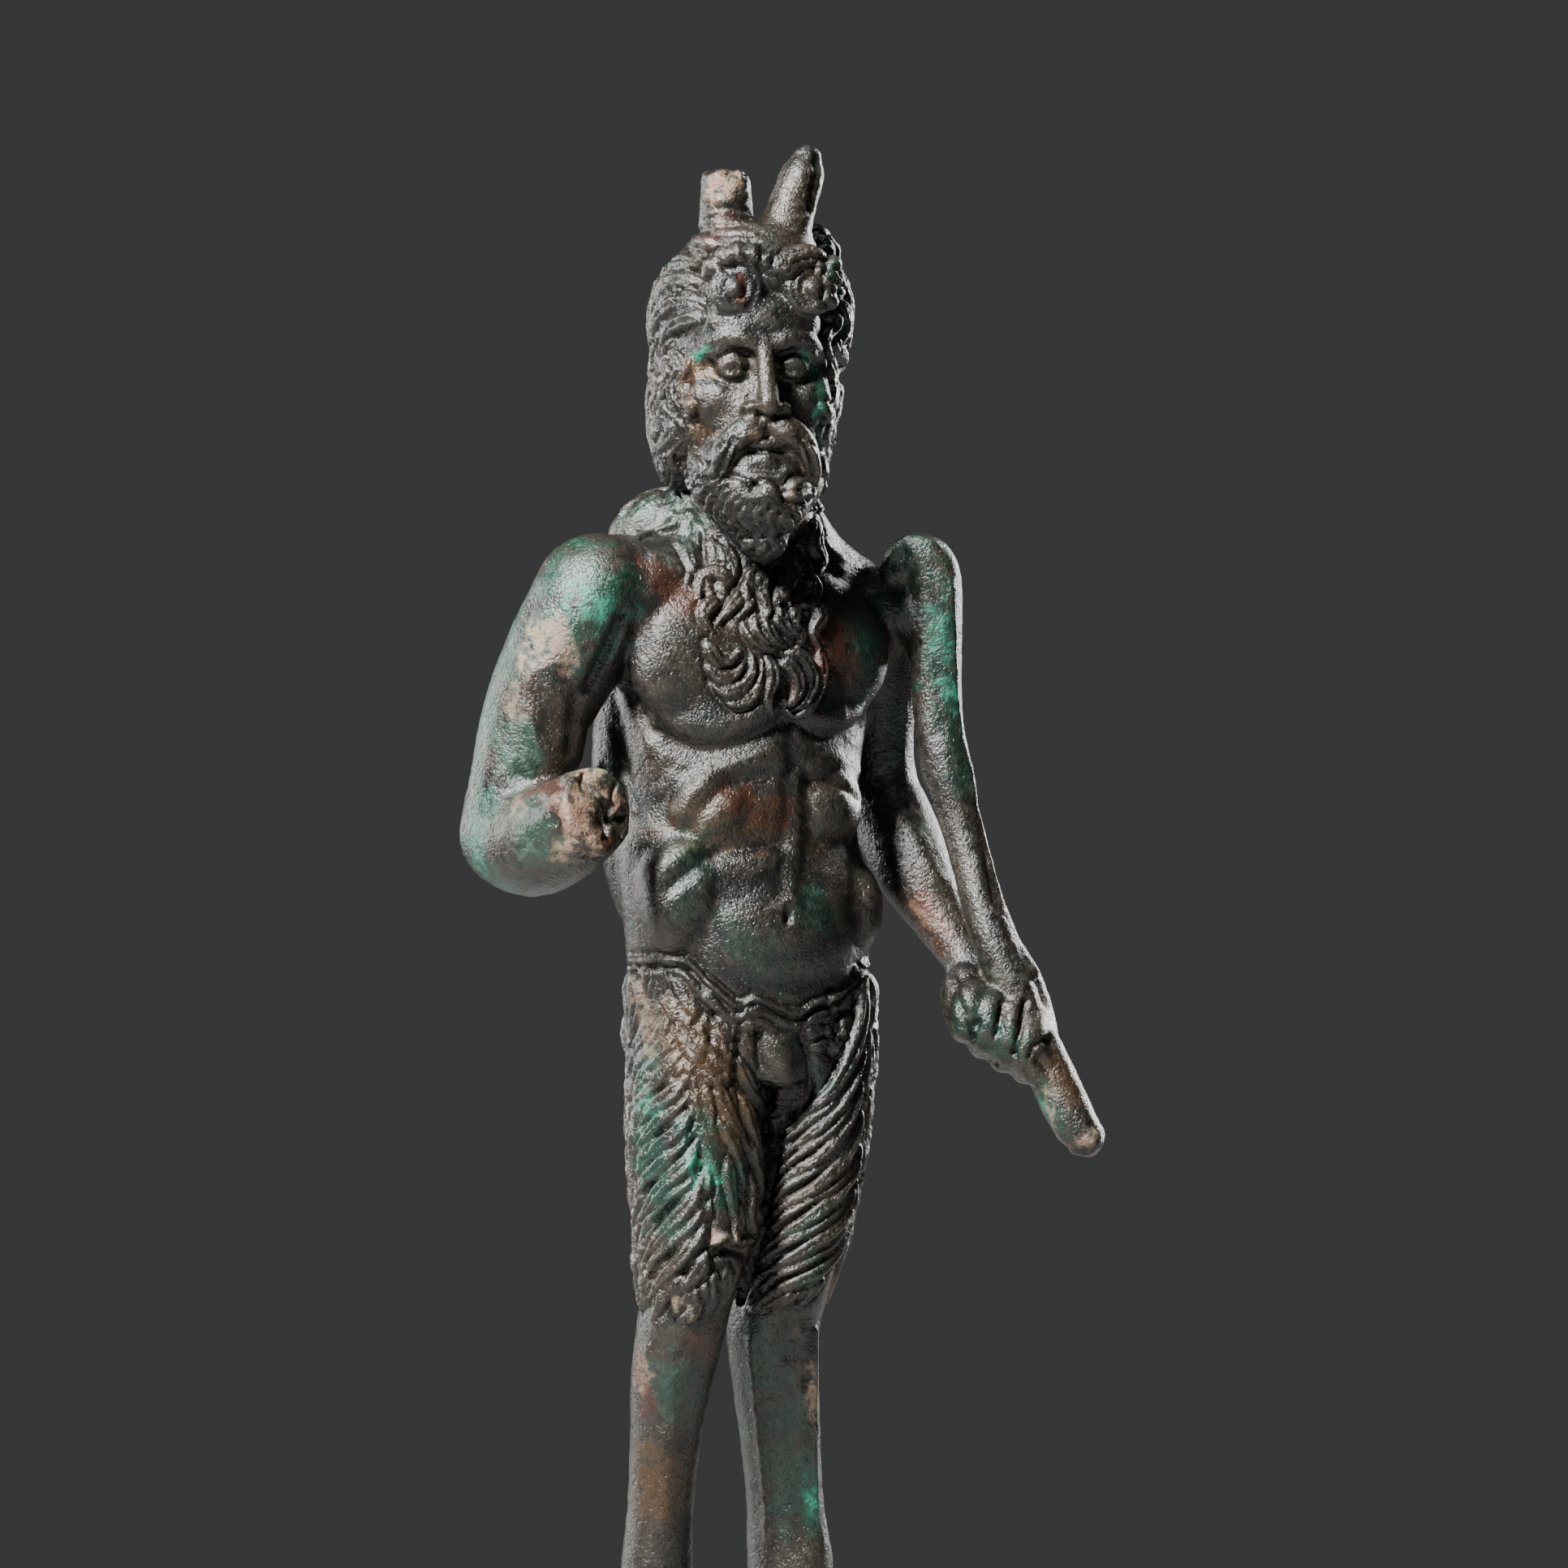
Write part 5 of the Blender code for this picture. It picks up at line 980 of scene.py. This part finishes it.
# Patina, painted on the finished skin as attributes that the bronze reads
patina = {"backStains": 52, "ragged": 0.7, "backColours": ("green", "brown", "green", "rust", "tan", "vivid")}
stains = {  # for each colour: path as the viewer sees it, reach, amount
    "green": [  # over the arm, the stick and parts of the legs
        ([(-20.5, 148), (-23.3, 144), (-26.5, 137)], 4.6, 0.75),
        ([(-17, 147), (-15.5, 144), (-17.5, 138)], 4.2, 0.7),
        ([(-29.3, 134), (-30.9, 127), (-32.1, 121)], 3.4, 0.7),
        ([(-30.5, 117), (-31.5, 112), (-29.5, 109)], 3.2, 0.9), ([(-26.5, 127), (-25.5, 121)], 2.2, 0.6),
        ([(-24.5, 117), (-22.5, 112)], 3.0, 0.6), ([(-16, 122), (-14, 120.5)], 1.4, 0.5),
        ([(25.5, 148), (26.1, 141), (25.5, 132)], 3.2, 0.6), ([(21.5, 149), (22.5, 143)], 2.6, 0.35),
        ([(26.3, 129), (27.5, 121)], 2.2, 0.35), ([(15.7, 144), (16.7, 137), (15.7, 132)], 2.4, 0.6),
        ([(19.5, 131), (20.7, 125)], 1.4, 0.5), ([(10.5, 172), (10.3, 167), (10.7, 161)], 1.0, 0.6),
        ([(12.5, 170), (11.9, 165)], 1.2, 0.5), ([(10.5, 187.5), (12.7, 183)], 1.6, 0.5),
        ([(13.1, 180), (13.5, 175)], 1.4, 0.35), ([(-5.5, 114), (-4.3, 110), (-5.5, 106)], 2.4, 0.3),
        ([(9.5, 105), (13.5, 103)], 2.4, 0.35), ([(-0.5, 103), (5.5, 99)], 2.6, 0.25),
        ([(-11.5, 82), (-10.5, 75), (-7.5, 69)], 3.6, 0.6), ([(-10.5, 87), (-11.9, 79)], 1.6, 0.6),
        ([(-4.5, 77), (-1.5, 71)], 3.2, 0.55), ([(10.5, 67), (9.5, 61)], 2.6, 0.3),
        ([(8, 88), (10.5, 84)], 1.4, 0.3), ([(-8.5, 48), (-6, 44)], 3.0, 0.5), ([(2.5, 52), (4, 45)], 3.6, 0.45),
        ([(6, 42), (7, 32)], 3.4, 0.4), ([(9.7, 35), (10.1, 28)], 1.6, 0.8),
        ([(0.7, 52), (1.1, 41), (1.9, 27)], 1.0, 0.5), ([(27.5, 92), (33.5, 88)], 2.6, 0.5),
        ([(37.5, 82), (39.5, 79)], 2.0, 0.7), ([(-7.5, 154.5), (-5.5, 152)], 2.4, 0.3),
        ([(-13.7, 111), (-12.9, 103)], 1.0, 0.7), ([(-14, 153), (-11.5, 154.5)], 1.8, 0.5),
    ],
    "vivid": [
        ([(-18.9, 143.5), (-17, 141.8)], 2.2, 0.8), ([(-4.3, 73.8), (-3.3, 72.2)], 1.4, 1.0),
        ([(-31.5, 112.5), (-30.9, 110)], 1.6, 0.8), ([(24.5, 141), (25.3, 137)], 1.3, 0.7),
        ([(25.5, 133), (26.7, 131.4)], 1.0, 0.8), ([(-4.3, 172.6), (-3.3, 173)], 0.8, 1.0),
        ([(8.5, 173), (9.5, 170.8)], 0.8, 0.9), ([(10.3, 167), (9.9, 164)], 0.6, 0.8),
        ([(-11.3, 82.5), (-9.9, 80.8)], 1.2, 0.5), ([(37.7, 81), (38.7, 80.2)], 1.0, 0.8),
        ([(-16.5, 122.2), (-15.3, 122.6)], 0.8, 0.7), ([(9.5, 32.5), (10.1, 29.5)], 0.9, 0.9),
    ],
    "tan": [  # where the skin has flaked to pale mineral
        ([(-24.1, 139.8), (-22.1, 138), (-23.7, 135.8)], 1.35, 0.9), ([(-25.7, 137), (-25.1, 134.4)], 1.0, 0.9),
        ([(-21.5, 140), (-19.9, 137), (-20.5, 134.4)], 1.0, 0.5), ([(-26.9, 132), (-26.5, 129)], 1.0, 0.4),
        ([(-18.1, 121), (-19.1, 117), (-18.5, 113)], 2.2, 0.95), ([(-15.3, 121), (-14.3, 118)], 1.3, 0.7),
        ([(-20.3, 113.5), (-21.5, 112.2)], 1.2, 0.7), ([(-26.5, 118.5), (-25.7, 117)], 0.8, 0.5),
        ([(-2.5, 195.6), (-0.5, 194.4), (-1.7, 193.2)], 1.7, 1.0), ([(22.3, 105.2), (24.5, 102.8)], 0.8, 0.45),
        ([(2.5, 162.7), (3.3, 162.7)], 0.5, 1.0), ([(21.5, 118.5), (23.1, 116.4)], 0.8, 0.4),
        ([(7.1, 156.4), (6.7, 154.4)], 0.5, 0.4), ([(9.5, 48), (10.1, 43)], 1.2, 0.6),
        ([(-10.9, 49), (-11.5, 47)], 1.4, 0.5), ([(-6.5, 57), (-4.9, 55.8)], 1.2, 0.6),
        ([(-2.1, 65), (1.5, 64.4)], 0.8, 0.6), ([(43.5, 77), (44.5, 75)], 1.2, 0.8),
        ([(38.5, 82), (39.5, 78)], 0.8, 0.5), ([(-12.3, 101), (-11.5, 94), (-10.5, 88)], 1.2, 0.4),
        ([(11.5, 57), (12.5, 59)], 0.8, 0.4), ([(-31.5, 109), (-30.5, 108.4)], 0.7, 0.8),
        ([(-9, 190), (-8.7, 192)], 0.8, 0.5),
    ],
    "rust": [
        ([(-25.5, 134), (-26.5, 130)], 1.8, 0.5), ([(-24.1, 120), (-21.5, 119)], 2.2, 0.7),
        ([(-17, 114), (-15.3, 113)], 1.6, 0.7), ([(0.7, 181.8), (0.9, 179.6)], 0.7, 0.9),
        ([(11.5, 137), (14.5, 134)], 3.0, 0.5), ([(-12.3, 48), (-11.3, 45)], 2.4, 0.8),
        ([(-0.5, 118.5), (5.5, 117)], 2.0, 0.4), ([(-10.5, 147), (-5.5, 142.5)], 1.6, 0.4),
        ([(7.1, 132), (7.9, 130.8)], 0.9, 0.7), ([(-3.5, 187), (-1.5, 189)], 1.6, 0.3),
        ([(22.5, 106), (26.1, 100.5)], 1.4, 0.6), ([(-4.5, 53), (-2.5, 51)], 1.6, 0.4),
        ([(10.5, 54), (10.5, 51)], 1.2, 0.4), ([(28.9, 147), (27.5, 145)], 1.0, 0.5),
    ],
    "brown": [
        ([(-5.5, 171), (-3.7, 171.2), (-2.7, 170.4)], 0.9, 1.0),
        ([(-5.5, 169), (-4.7, 165), (-3.9, 163)], 1.8, 0.7), ([(-7.5, 91), (-3.5, 86), (-0.5, 81)], 3.4, 0.65),
        ([(-2.5, 81), (-0.5, 78)], 2.8, 0.6), ([(-9.9, 38), (-9.3, 33)], 3.0, 0.9),
        ([(-18.9, 118), (-18.5, 116)], 1.0, 0.8), ([(-4.3, 115), (-0.5, 116), (3.5, 115.6)], 2.8, 0.5),
        ([(25.5, 98), (26.5, 91)], 2.0, 0.4), ([(39.5, 86), (41.1, 83)], 1.6, 0.6),
        ([(-8.5, 115), (-5.5, 117)], 2.0, 0.4),
    ],
    # pale crust, partly painted highlight: some of these patches stand for streaks of light over the crust
    "pale": [
        ([(-29.5, 127), (-27.7, 121), (-29.3, 116)], 2.2, 0.4), ([(-26.5, 131), (-25.5, 123)], 1.6, 0.35),
        ([(-28.5, 116), (-25.5, 113)], 1.8, 0.4), ([(19.5, 121.5), (22.5, 118), (24.7, 114)], 2.2, 0.6),
        ([(32.5, 97), (35.5, 98), (38, 97)], 1.8, 0.4), ([(-10.5, 153), (-11.5, 151.5)], 1.8, 0.4),
        ([(-6.5, 153), (-6.9, 147)], 1.8, 0.35), ([(13.5, 148), (18.5, 145.8)], 1.2, 0.35),
        ([(-10.5, 93), (-9.9, 87)], 1.8, 0.3), ([(10.5, 47), (10.5, 37)], 0.9, 0.5),
    ],
}


class Tints(Brush):
    def __init__(self, mesh):
        super().__init__(mesh)
        self.fields = {name: np.zeros(len(self.co)) for name in stains}
        self.ragged = np.array([noise.noise(Vector(p) * 0.45) + 0.6 * noise.noise(Vector(p) * 1.3)
                                + 0.4 * noise.noise(Vector(p) * 3.1) for p in self.co])

    def stain(self, name, path, reach, amount):  # a patch with a ragged edge
        if not len(path):
            return
        if len(path) == 1:
            path = np.vstack([path, path + [0.02, 0, 0.02, 0, 0, 0]])
        which, _, _, far = self.near(path, reach * 2.2)
        edge = far / reach + patina["ragged"] * self.ragged[which]
        field = self.fields[name]
        field[which] = np.maximum(field[which], amount * np.clip((1.15 - edge) / 0.3, 0, 1))

    def save(self):  # the stains, and how deep each place lies
        ends = edgeEnds(self.mesh)
        smooth = self.co.copy()
        hollow = np.zeros(len(smooth))
        for rounds, span in ((6, 0.16), (22, 0.45)):
            for _ in range(rounds):
                smooth += 0.7 * (averaged(smooth, ends) - smooth)
            hollow += np.clip(np.einsum("ij,ij->i", smooth - self.co, self.out) / span, -1, 1) * 0.5
        self.fields["hollow"] = hollow
        for name, values in self.fields.items():
            attribute = self.mesh.attributes.new(name, "FLOAT", "POINT")
            attribute.data.foreach_set("value", values.astype(np.float32))


def paintFigure(faun):
    skin = Tints(faun.data)
    for name, rows in stains.items():
        for path, reach, amount in rows:
            skin.stain(name, skin.front(path), reach, amount)
    for _ in range(patina["backStains"]):  # the same play of colours over the back
        spot = skin.back([(chance.uniform(-24, 18), chance.uniform(6, 186))])
        name = patina["backColours"][chance.randint(6)]
        skin.stain(name, spot, chance.uniform(1.4, 4.6), chance.uniform(0.4, 0.85))
    skin.save()
    print("painted")


# Bronze
class Sum:  # a shader value that takes part in an ordinary expression
    def __init__(self, tree, link=None):
        self.tree, self.link = tree, link

    def node(self, kind, settings=None, values=None, result=0):
        made = self.tree.nodes.new(kind)
        for name, value in (settings or {}).items():
            setattr(made, name, value)
        for name, value in (values or {}).items():
            if isinstance(value, Sum):
                self.tree.links.new(value.link, made.inputs[name])
            else:
                made.inputs[name].default_value = value
        return Sum(self.tree, made.outputs[result])

    def maths(self, operation, *values, clamp=False):
        return self.node("ShaderNodeMath", {"operation": operation, "use_clamp": clamp}, dict(enumerate(values)))

    def __add__(self, other):
        return self.maths("ADD", self, other)

    def __mul__(self, other):
        return self.maths("MULTIPLY", self, other)

    def __sub__(self, other):
        return self.maths("SUBTRACT", self, other)

    def __rsub__(self, other):
        return self.maths("SUBTRACT", other, self)

    __radd__, __rmul__ = __add__, __mul__

    def clamped(self):
        return self.maths("ADD", self, 0.0, clamp=True)

    def step(self, low, high):  # 0 below low, 1 above high
        return self.node("ShaderNodeMapRange", {"interpolation_type": "SMOOTHSTEP"},
                         {"Value": self, "From Min": low, "From Max": high})

    def tint(self, under, over):  # the colour under, with the colour over where this value is 1
        return self.node("ShaderNodeMix", {"data_type": "RGBA"}, {0: self, 6: under, 7: over}, 2)


bronze = {
    "dark": (0.0085, 0.0078, 0.0068, 1), "brown": (0.024, 0.017, 0.0112, 1), "olive": (0.006, 0.0155, 0.011, 1),
    "dust": (0.078, 0.058, 0.037, 1), "worn": (0.052, 0.045, 0.036, 1), "green": (0.0005, 0.034, 0.02, 1),
    "bright": (0.002, 0.125, 0.075, 1), "tan": (0.21, 0.15, 0.088, 1), "pink": (0.18, 0.098, 0.07, 1),
    "gold": (0.16, 0.08, 0.024, 1), "rust": (0.075, 0.018, 0.009, 1), "honey": (0.054, 0.028, 0.01, 1),
    # colour of the pale patches: pale crust, partly a painted highlight
    "crust_and_highlight": (0.065, 0.098, 0.075, 1),
    "gloss": 0.31,  # roughness of clean metal, about
    "shine": 0.7,
    "metal": 0.36,
    "grain": 0.00024,  # height of the finest grain, metres
}


def agedBronze(name, painted):
    material = bpy.data.materials.new(name)
    material.use_nodes = True
    tree = material.node_tree
    surface = tree.nodes["Principled BSDF"]
    base = Sum(tree)
    place = base.node("ShaderNodeTexCoord", result=3)

    def cloud(scale, detail=4.0, rough=0.6):
        return base.node("ShaderNodeTexNoise", None,
                         {"Vector": place, "Scale": scale, "Detail": detail, "Roughness": rough})

    def paint(field):
        return base.node("ShaderNodeAttribute", {"attribute_name": field}, result=2)

    broad, medium, fine, grain = cloud(70), cloud(260, 5), cloud(900, 4), cloud(2600, 3)
    hollow = paint("hollow") if painted else medium * 0.0  # a turned plinth has no folds to fill
    colour = broad.step(0.42, 0.62).tint(bronze["dark"], bronze["brown"])
    colour = (medium.step(0.5, 0.68) * 0.6).tint(colour, bronze["olive"])
    worn = (0.0 - hollow).step(0.1, 0.7) * fine.step(0.35, 0.6) * 0.4
    colour = worn.tint(colour, bronze["worn"])
    specks = grain.step(0.6, 0.68) * (broad.step(0.4, 0.6) * 0.5 + 0.15)
    dust = hollow.step(0.15, 0.8) * fine.step(0.42, 0.64) * 0.28 + specks
    colour = dust.clamped().tint(colour, bronze["dust"])
    chalk = dust
    if painted:
        honey, rust, pale = paint("brown"), paint("rust"), paint("pale")
        green, vivid, tan = paint("green"), paint("vivid"), paint("tan")
        colour = (honey * fine.step(0.25, 0.6)).tint(colour, bronze["honey"])
        colour = (rust * medium.step(0.3, 0.6)).tint(colour, bronze["rust"])
        leaf = fine.step(0.55, 0.75).tint(bronze["green"], bronze["bright"])
        colour = (green * medium.step(0.32, 0.54)).tint(colour, leaf)
        colour = (vivid * fine.step(0.4, 0.58)).tint(colour, bronze["bright"])
        # pale patches: pale crust, partly painted highlight
        colour = (pale * fine.step(0.44, 0.6)).tint(colour, bronze["crust_and_highlight"])
        mineral = medium.step(0.45, 0.6).tint(bronze["tan"], bronze["pink"])
        mineral = (fine.step(0.56, 0.7) * 0.8).tint(mineral, bronze["gold"])
        mineral = (hollow.step(0.1, 0.8) * 0.6).tint(mineral, bronze["honey"])
        colour = (tan * (fine * 0.6 + medium * 0.4).step(0.43, 0.54)).tint(colour, mineral)
        chalk = (dust + pale * 0.5 + tan + vivid * 0.5).clamped()
        metal = (1.0 - (chalk + green * 0.5).clamped()) * bronze["metal"]
        tree.links.new(metal.link, surface.inputs["Metallic"])
    else:
        leaf = broad.step(0.5, 0.66) * medium.step(0.42, 0.6) * 0.8
        colour = leaf.tint(colour, bronze["green"])
        surface.inputs["Metallic"].default_value = bronze["metal"]
    tree.links.new(colour.link, surface.inputs["Base Color"])
    tree.links.new((chalk * 0.35 + fine * 0.3 + bronze["gloss"] - 0.15).link, surface.inputs["Roughness"])
    surface.inputs["Specular IOR Level"].default_value = bronze["shine"]
    pits = cloud(1500, 2, 0.5).step(0.3, 0.44)
    height = grain * 0.9 + fine * 0.5 + medium * 0.8 + pits * 0.25 - chalk * 0.3
    bump = base.node("ShaderNodeBump", None, {"Strength": 0.8, "Distance": bronze["grain"], "Height": height})
    tree.links.new(bump.link, surface.inputs["Normal"])
    return material


def finish(faun):  # to metres, onto the plinth
    scale = figure["height"] / figure["drawn"]
    faun.data.transform(Matrix.Translation((0, 0, figure["seat"])) @ Matrix.Scale(scale, 4))
    pick(faun)
    bpy.ops.object.shade_smooth()
    faun.data.materials.clear()
    faun.data.materials.append(agedBronze("faun_bronze", True))


faun = makeFigure()
carveFigure(faun)
cutSoles(faun)
lighten(faun)
paintFigure(faun)
finish(faun)
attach(faun, "root")
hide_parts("faun")


# Plinth: a low turned base with a foot, a hollow waist and an upper moulding
plinth = {"radius": 0.031, "height": 0.012, "lip": 0.0022, "waist": 0.0022, "sides": 160, "curveSteps": 12}


def turnedProfile():  # radius and height, from the underside up
    radius, height, steps = plinth["radius"], plinth["height"], plinth["curveSteps"]
    ledge, topEdge = height * 0.32, height * 0.66
    topRadius = radius - plinth["lip"]
    rows = [(radius - 0.0005, 0.0), (radius - 0.0002, 0.0001), (radius, 0.0005), (radius, ledge - 0.0006),
            (radius - 0.0002, ledge - 0.0002), (radius - 0.0006, ledge)]
    for step in range(steps + 1):  # waist
        share = step / steps
        rows.append((topRadius - 0.001 - plinth["waist"] * math.sin(math.pi * share),
                     ledge + 0.0003 + (topEdge - ledge - 0.0006) * share))
    middle, half = (topEdge + height) / 2, (height - topEdge) / 2
    for step in range(steps + 1):  # upper moulding
        angle = math.radians(-80 + 160 * step / steps)
        rows.append((topRadius - half + half * math.cos(angle), middle + half * math.sin(angle)))
    return rows + [(topRadius - 1.4 * half, height), (0.022, height), (0.012, height)]


def makePlinth():
    rows = turnedProfile()
    deselect()
    bpy.ops.mesh.primitive_circle_add(vertices=plinth["sides"], radius=rows[0][0], fill_type="NGON")
    base = bpy.context.object
    base.name = "turned_plinth"
    bpy.ops.object.mode_set(mode="EDIT")
    bpy.ops.mesh.select_all(action="SELECT")
    for (radius, low), (wider, high) in zip(rows, rows[1:]):
        bpy.ops.mesh.extrude_region_move(TRANSFORM_OT_translate={"value": (0, 0, high - low)})
        bpy.ops.transform.resize(value=(wider / radius, wider / radius, 1), center_override=(0, 0, high))
    bpy.ops.mesh.select_all(action="SELECT")
    bpy.ops.mesh.normals_make_consistent(inside=False)
    bpy.ops.object.mode_set(mode="OBJECT")
    bpy.ops.object.shade_smooth_by_angle(angle=math.radians(35))
    base.data.materials.clear()
    base.data.materials.append(agedBronze("plinth_bronze", False))
    print("plinth made")
    return base


base = makePlinth()
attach(base, "root")
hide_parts("plinth")


# Studio
studio = {
    "floor": 0.36,
    "floorColour": (0.30, 0.295, 0.285, 1),
    "distance": 1.2,
    "aim": (0.0061, 0.0, 0.1327),
    "frameWidth": 0.1932,  # what the photo's frame takes in at the figure, metres
    "lights": {  # place, aim, watts, width and height
        "key": ((-0.29, -0.36, 0.52), (0, 0, 0.18), 21.0, (0.10, 0.13)),
        "rim": ((0.50, 0.62, 0.32), (0, 0, 0.13), 8.0, (0.12, 0.4)),
        "top": ((-0.1, 0.1, 1.1), (0, 0, 0.13), 2.0, (0.3, 0.3)),
        "back": ((-0.7, 0.5, 0.26), (0, 0, 0.13), 6.0, (0.14, 0.4)),
    },
    "room": (0.75, 0.76, 0.78, 1),
    "roomLight": 0.06,
}


def areaLight(name, spot, aim, energy, size):
    bpy.ops.object.light_add(type="AREA", location=spot)
    light = bpy.context.object
    light.name = name
    light.data.energy = energy
    light.data.shape = "RECTANGLE"
    light.data.size, light.data.size_y = size
    light.rotation_mode = "QUATERNION"
    light.rotation_quaternion = (Vector(aim) - Vector(spot)).to_track_quat("-Z", "Y")


def makeStudio():
    deselect()
    bpy.ops.mesh.primitive_circle_add(vertices=128, radius=studio["floor"], fill_type="NGON", location=(0, 0, 0))
    floor = bpy.context.object
    floor.name = "floor"
    pale = bpy.data.materials.new("pale_floor")
    pale.use_nodes = True
    surface = pale.node_tree.nodes["Principled BSDF"]
    surface.inputs["Base Color"].default_value = studio["floorColour"]
    surface.inputs["Roughness"].default_value = 0.7
    floor.data.materials.append(pale)
    for name, values in studio["lights"].items():
        areaLight(name, *values)
    world = bpy.data.worlds.new("studio")
    bpy.context.scene.world = world
    world.use_nodes = True
    room = world.node_tree.nodes["Background"]
    room.inputs["Color"].default_value = studio["room"]
    room.inputs["Strength"].default_value = studio["roomLight"]
    bpy.ops.object.camera_add(location=Vector(studio["aim"]) + Vector((0, -studio["distance"], 0)),
                              rotation=(math.pi / 2, 0, 0))
    camera = bpy.context.object
    camera.name = "photo_camera"
    camera.data.sensor_width = 36
    camera.data.lens = 36 * studio["distance"] / studio["frameWidth"]
    bpy.context.scene.camera = camera
    print("studio set")


makeStudio()
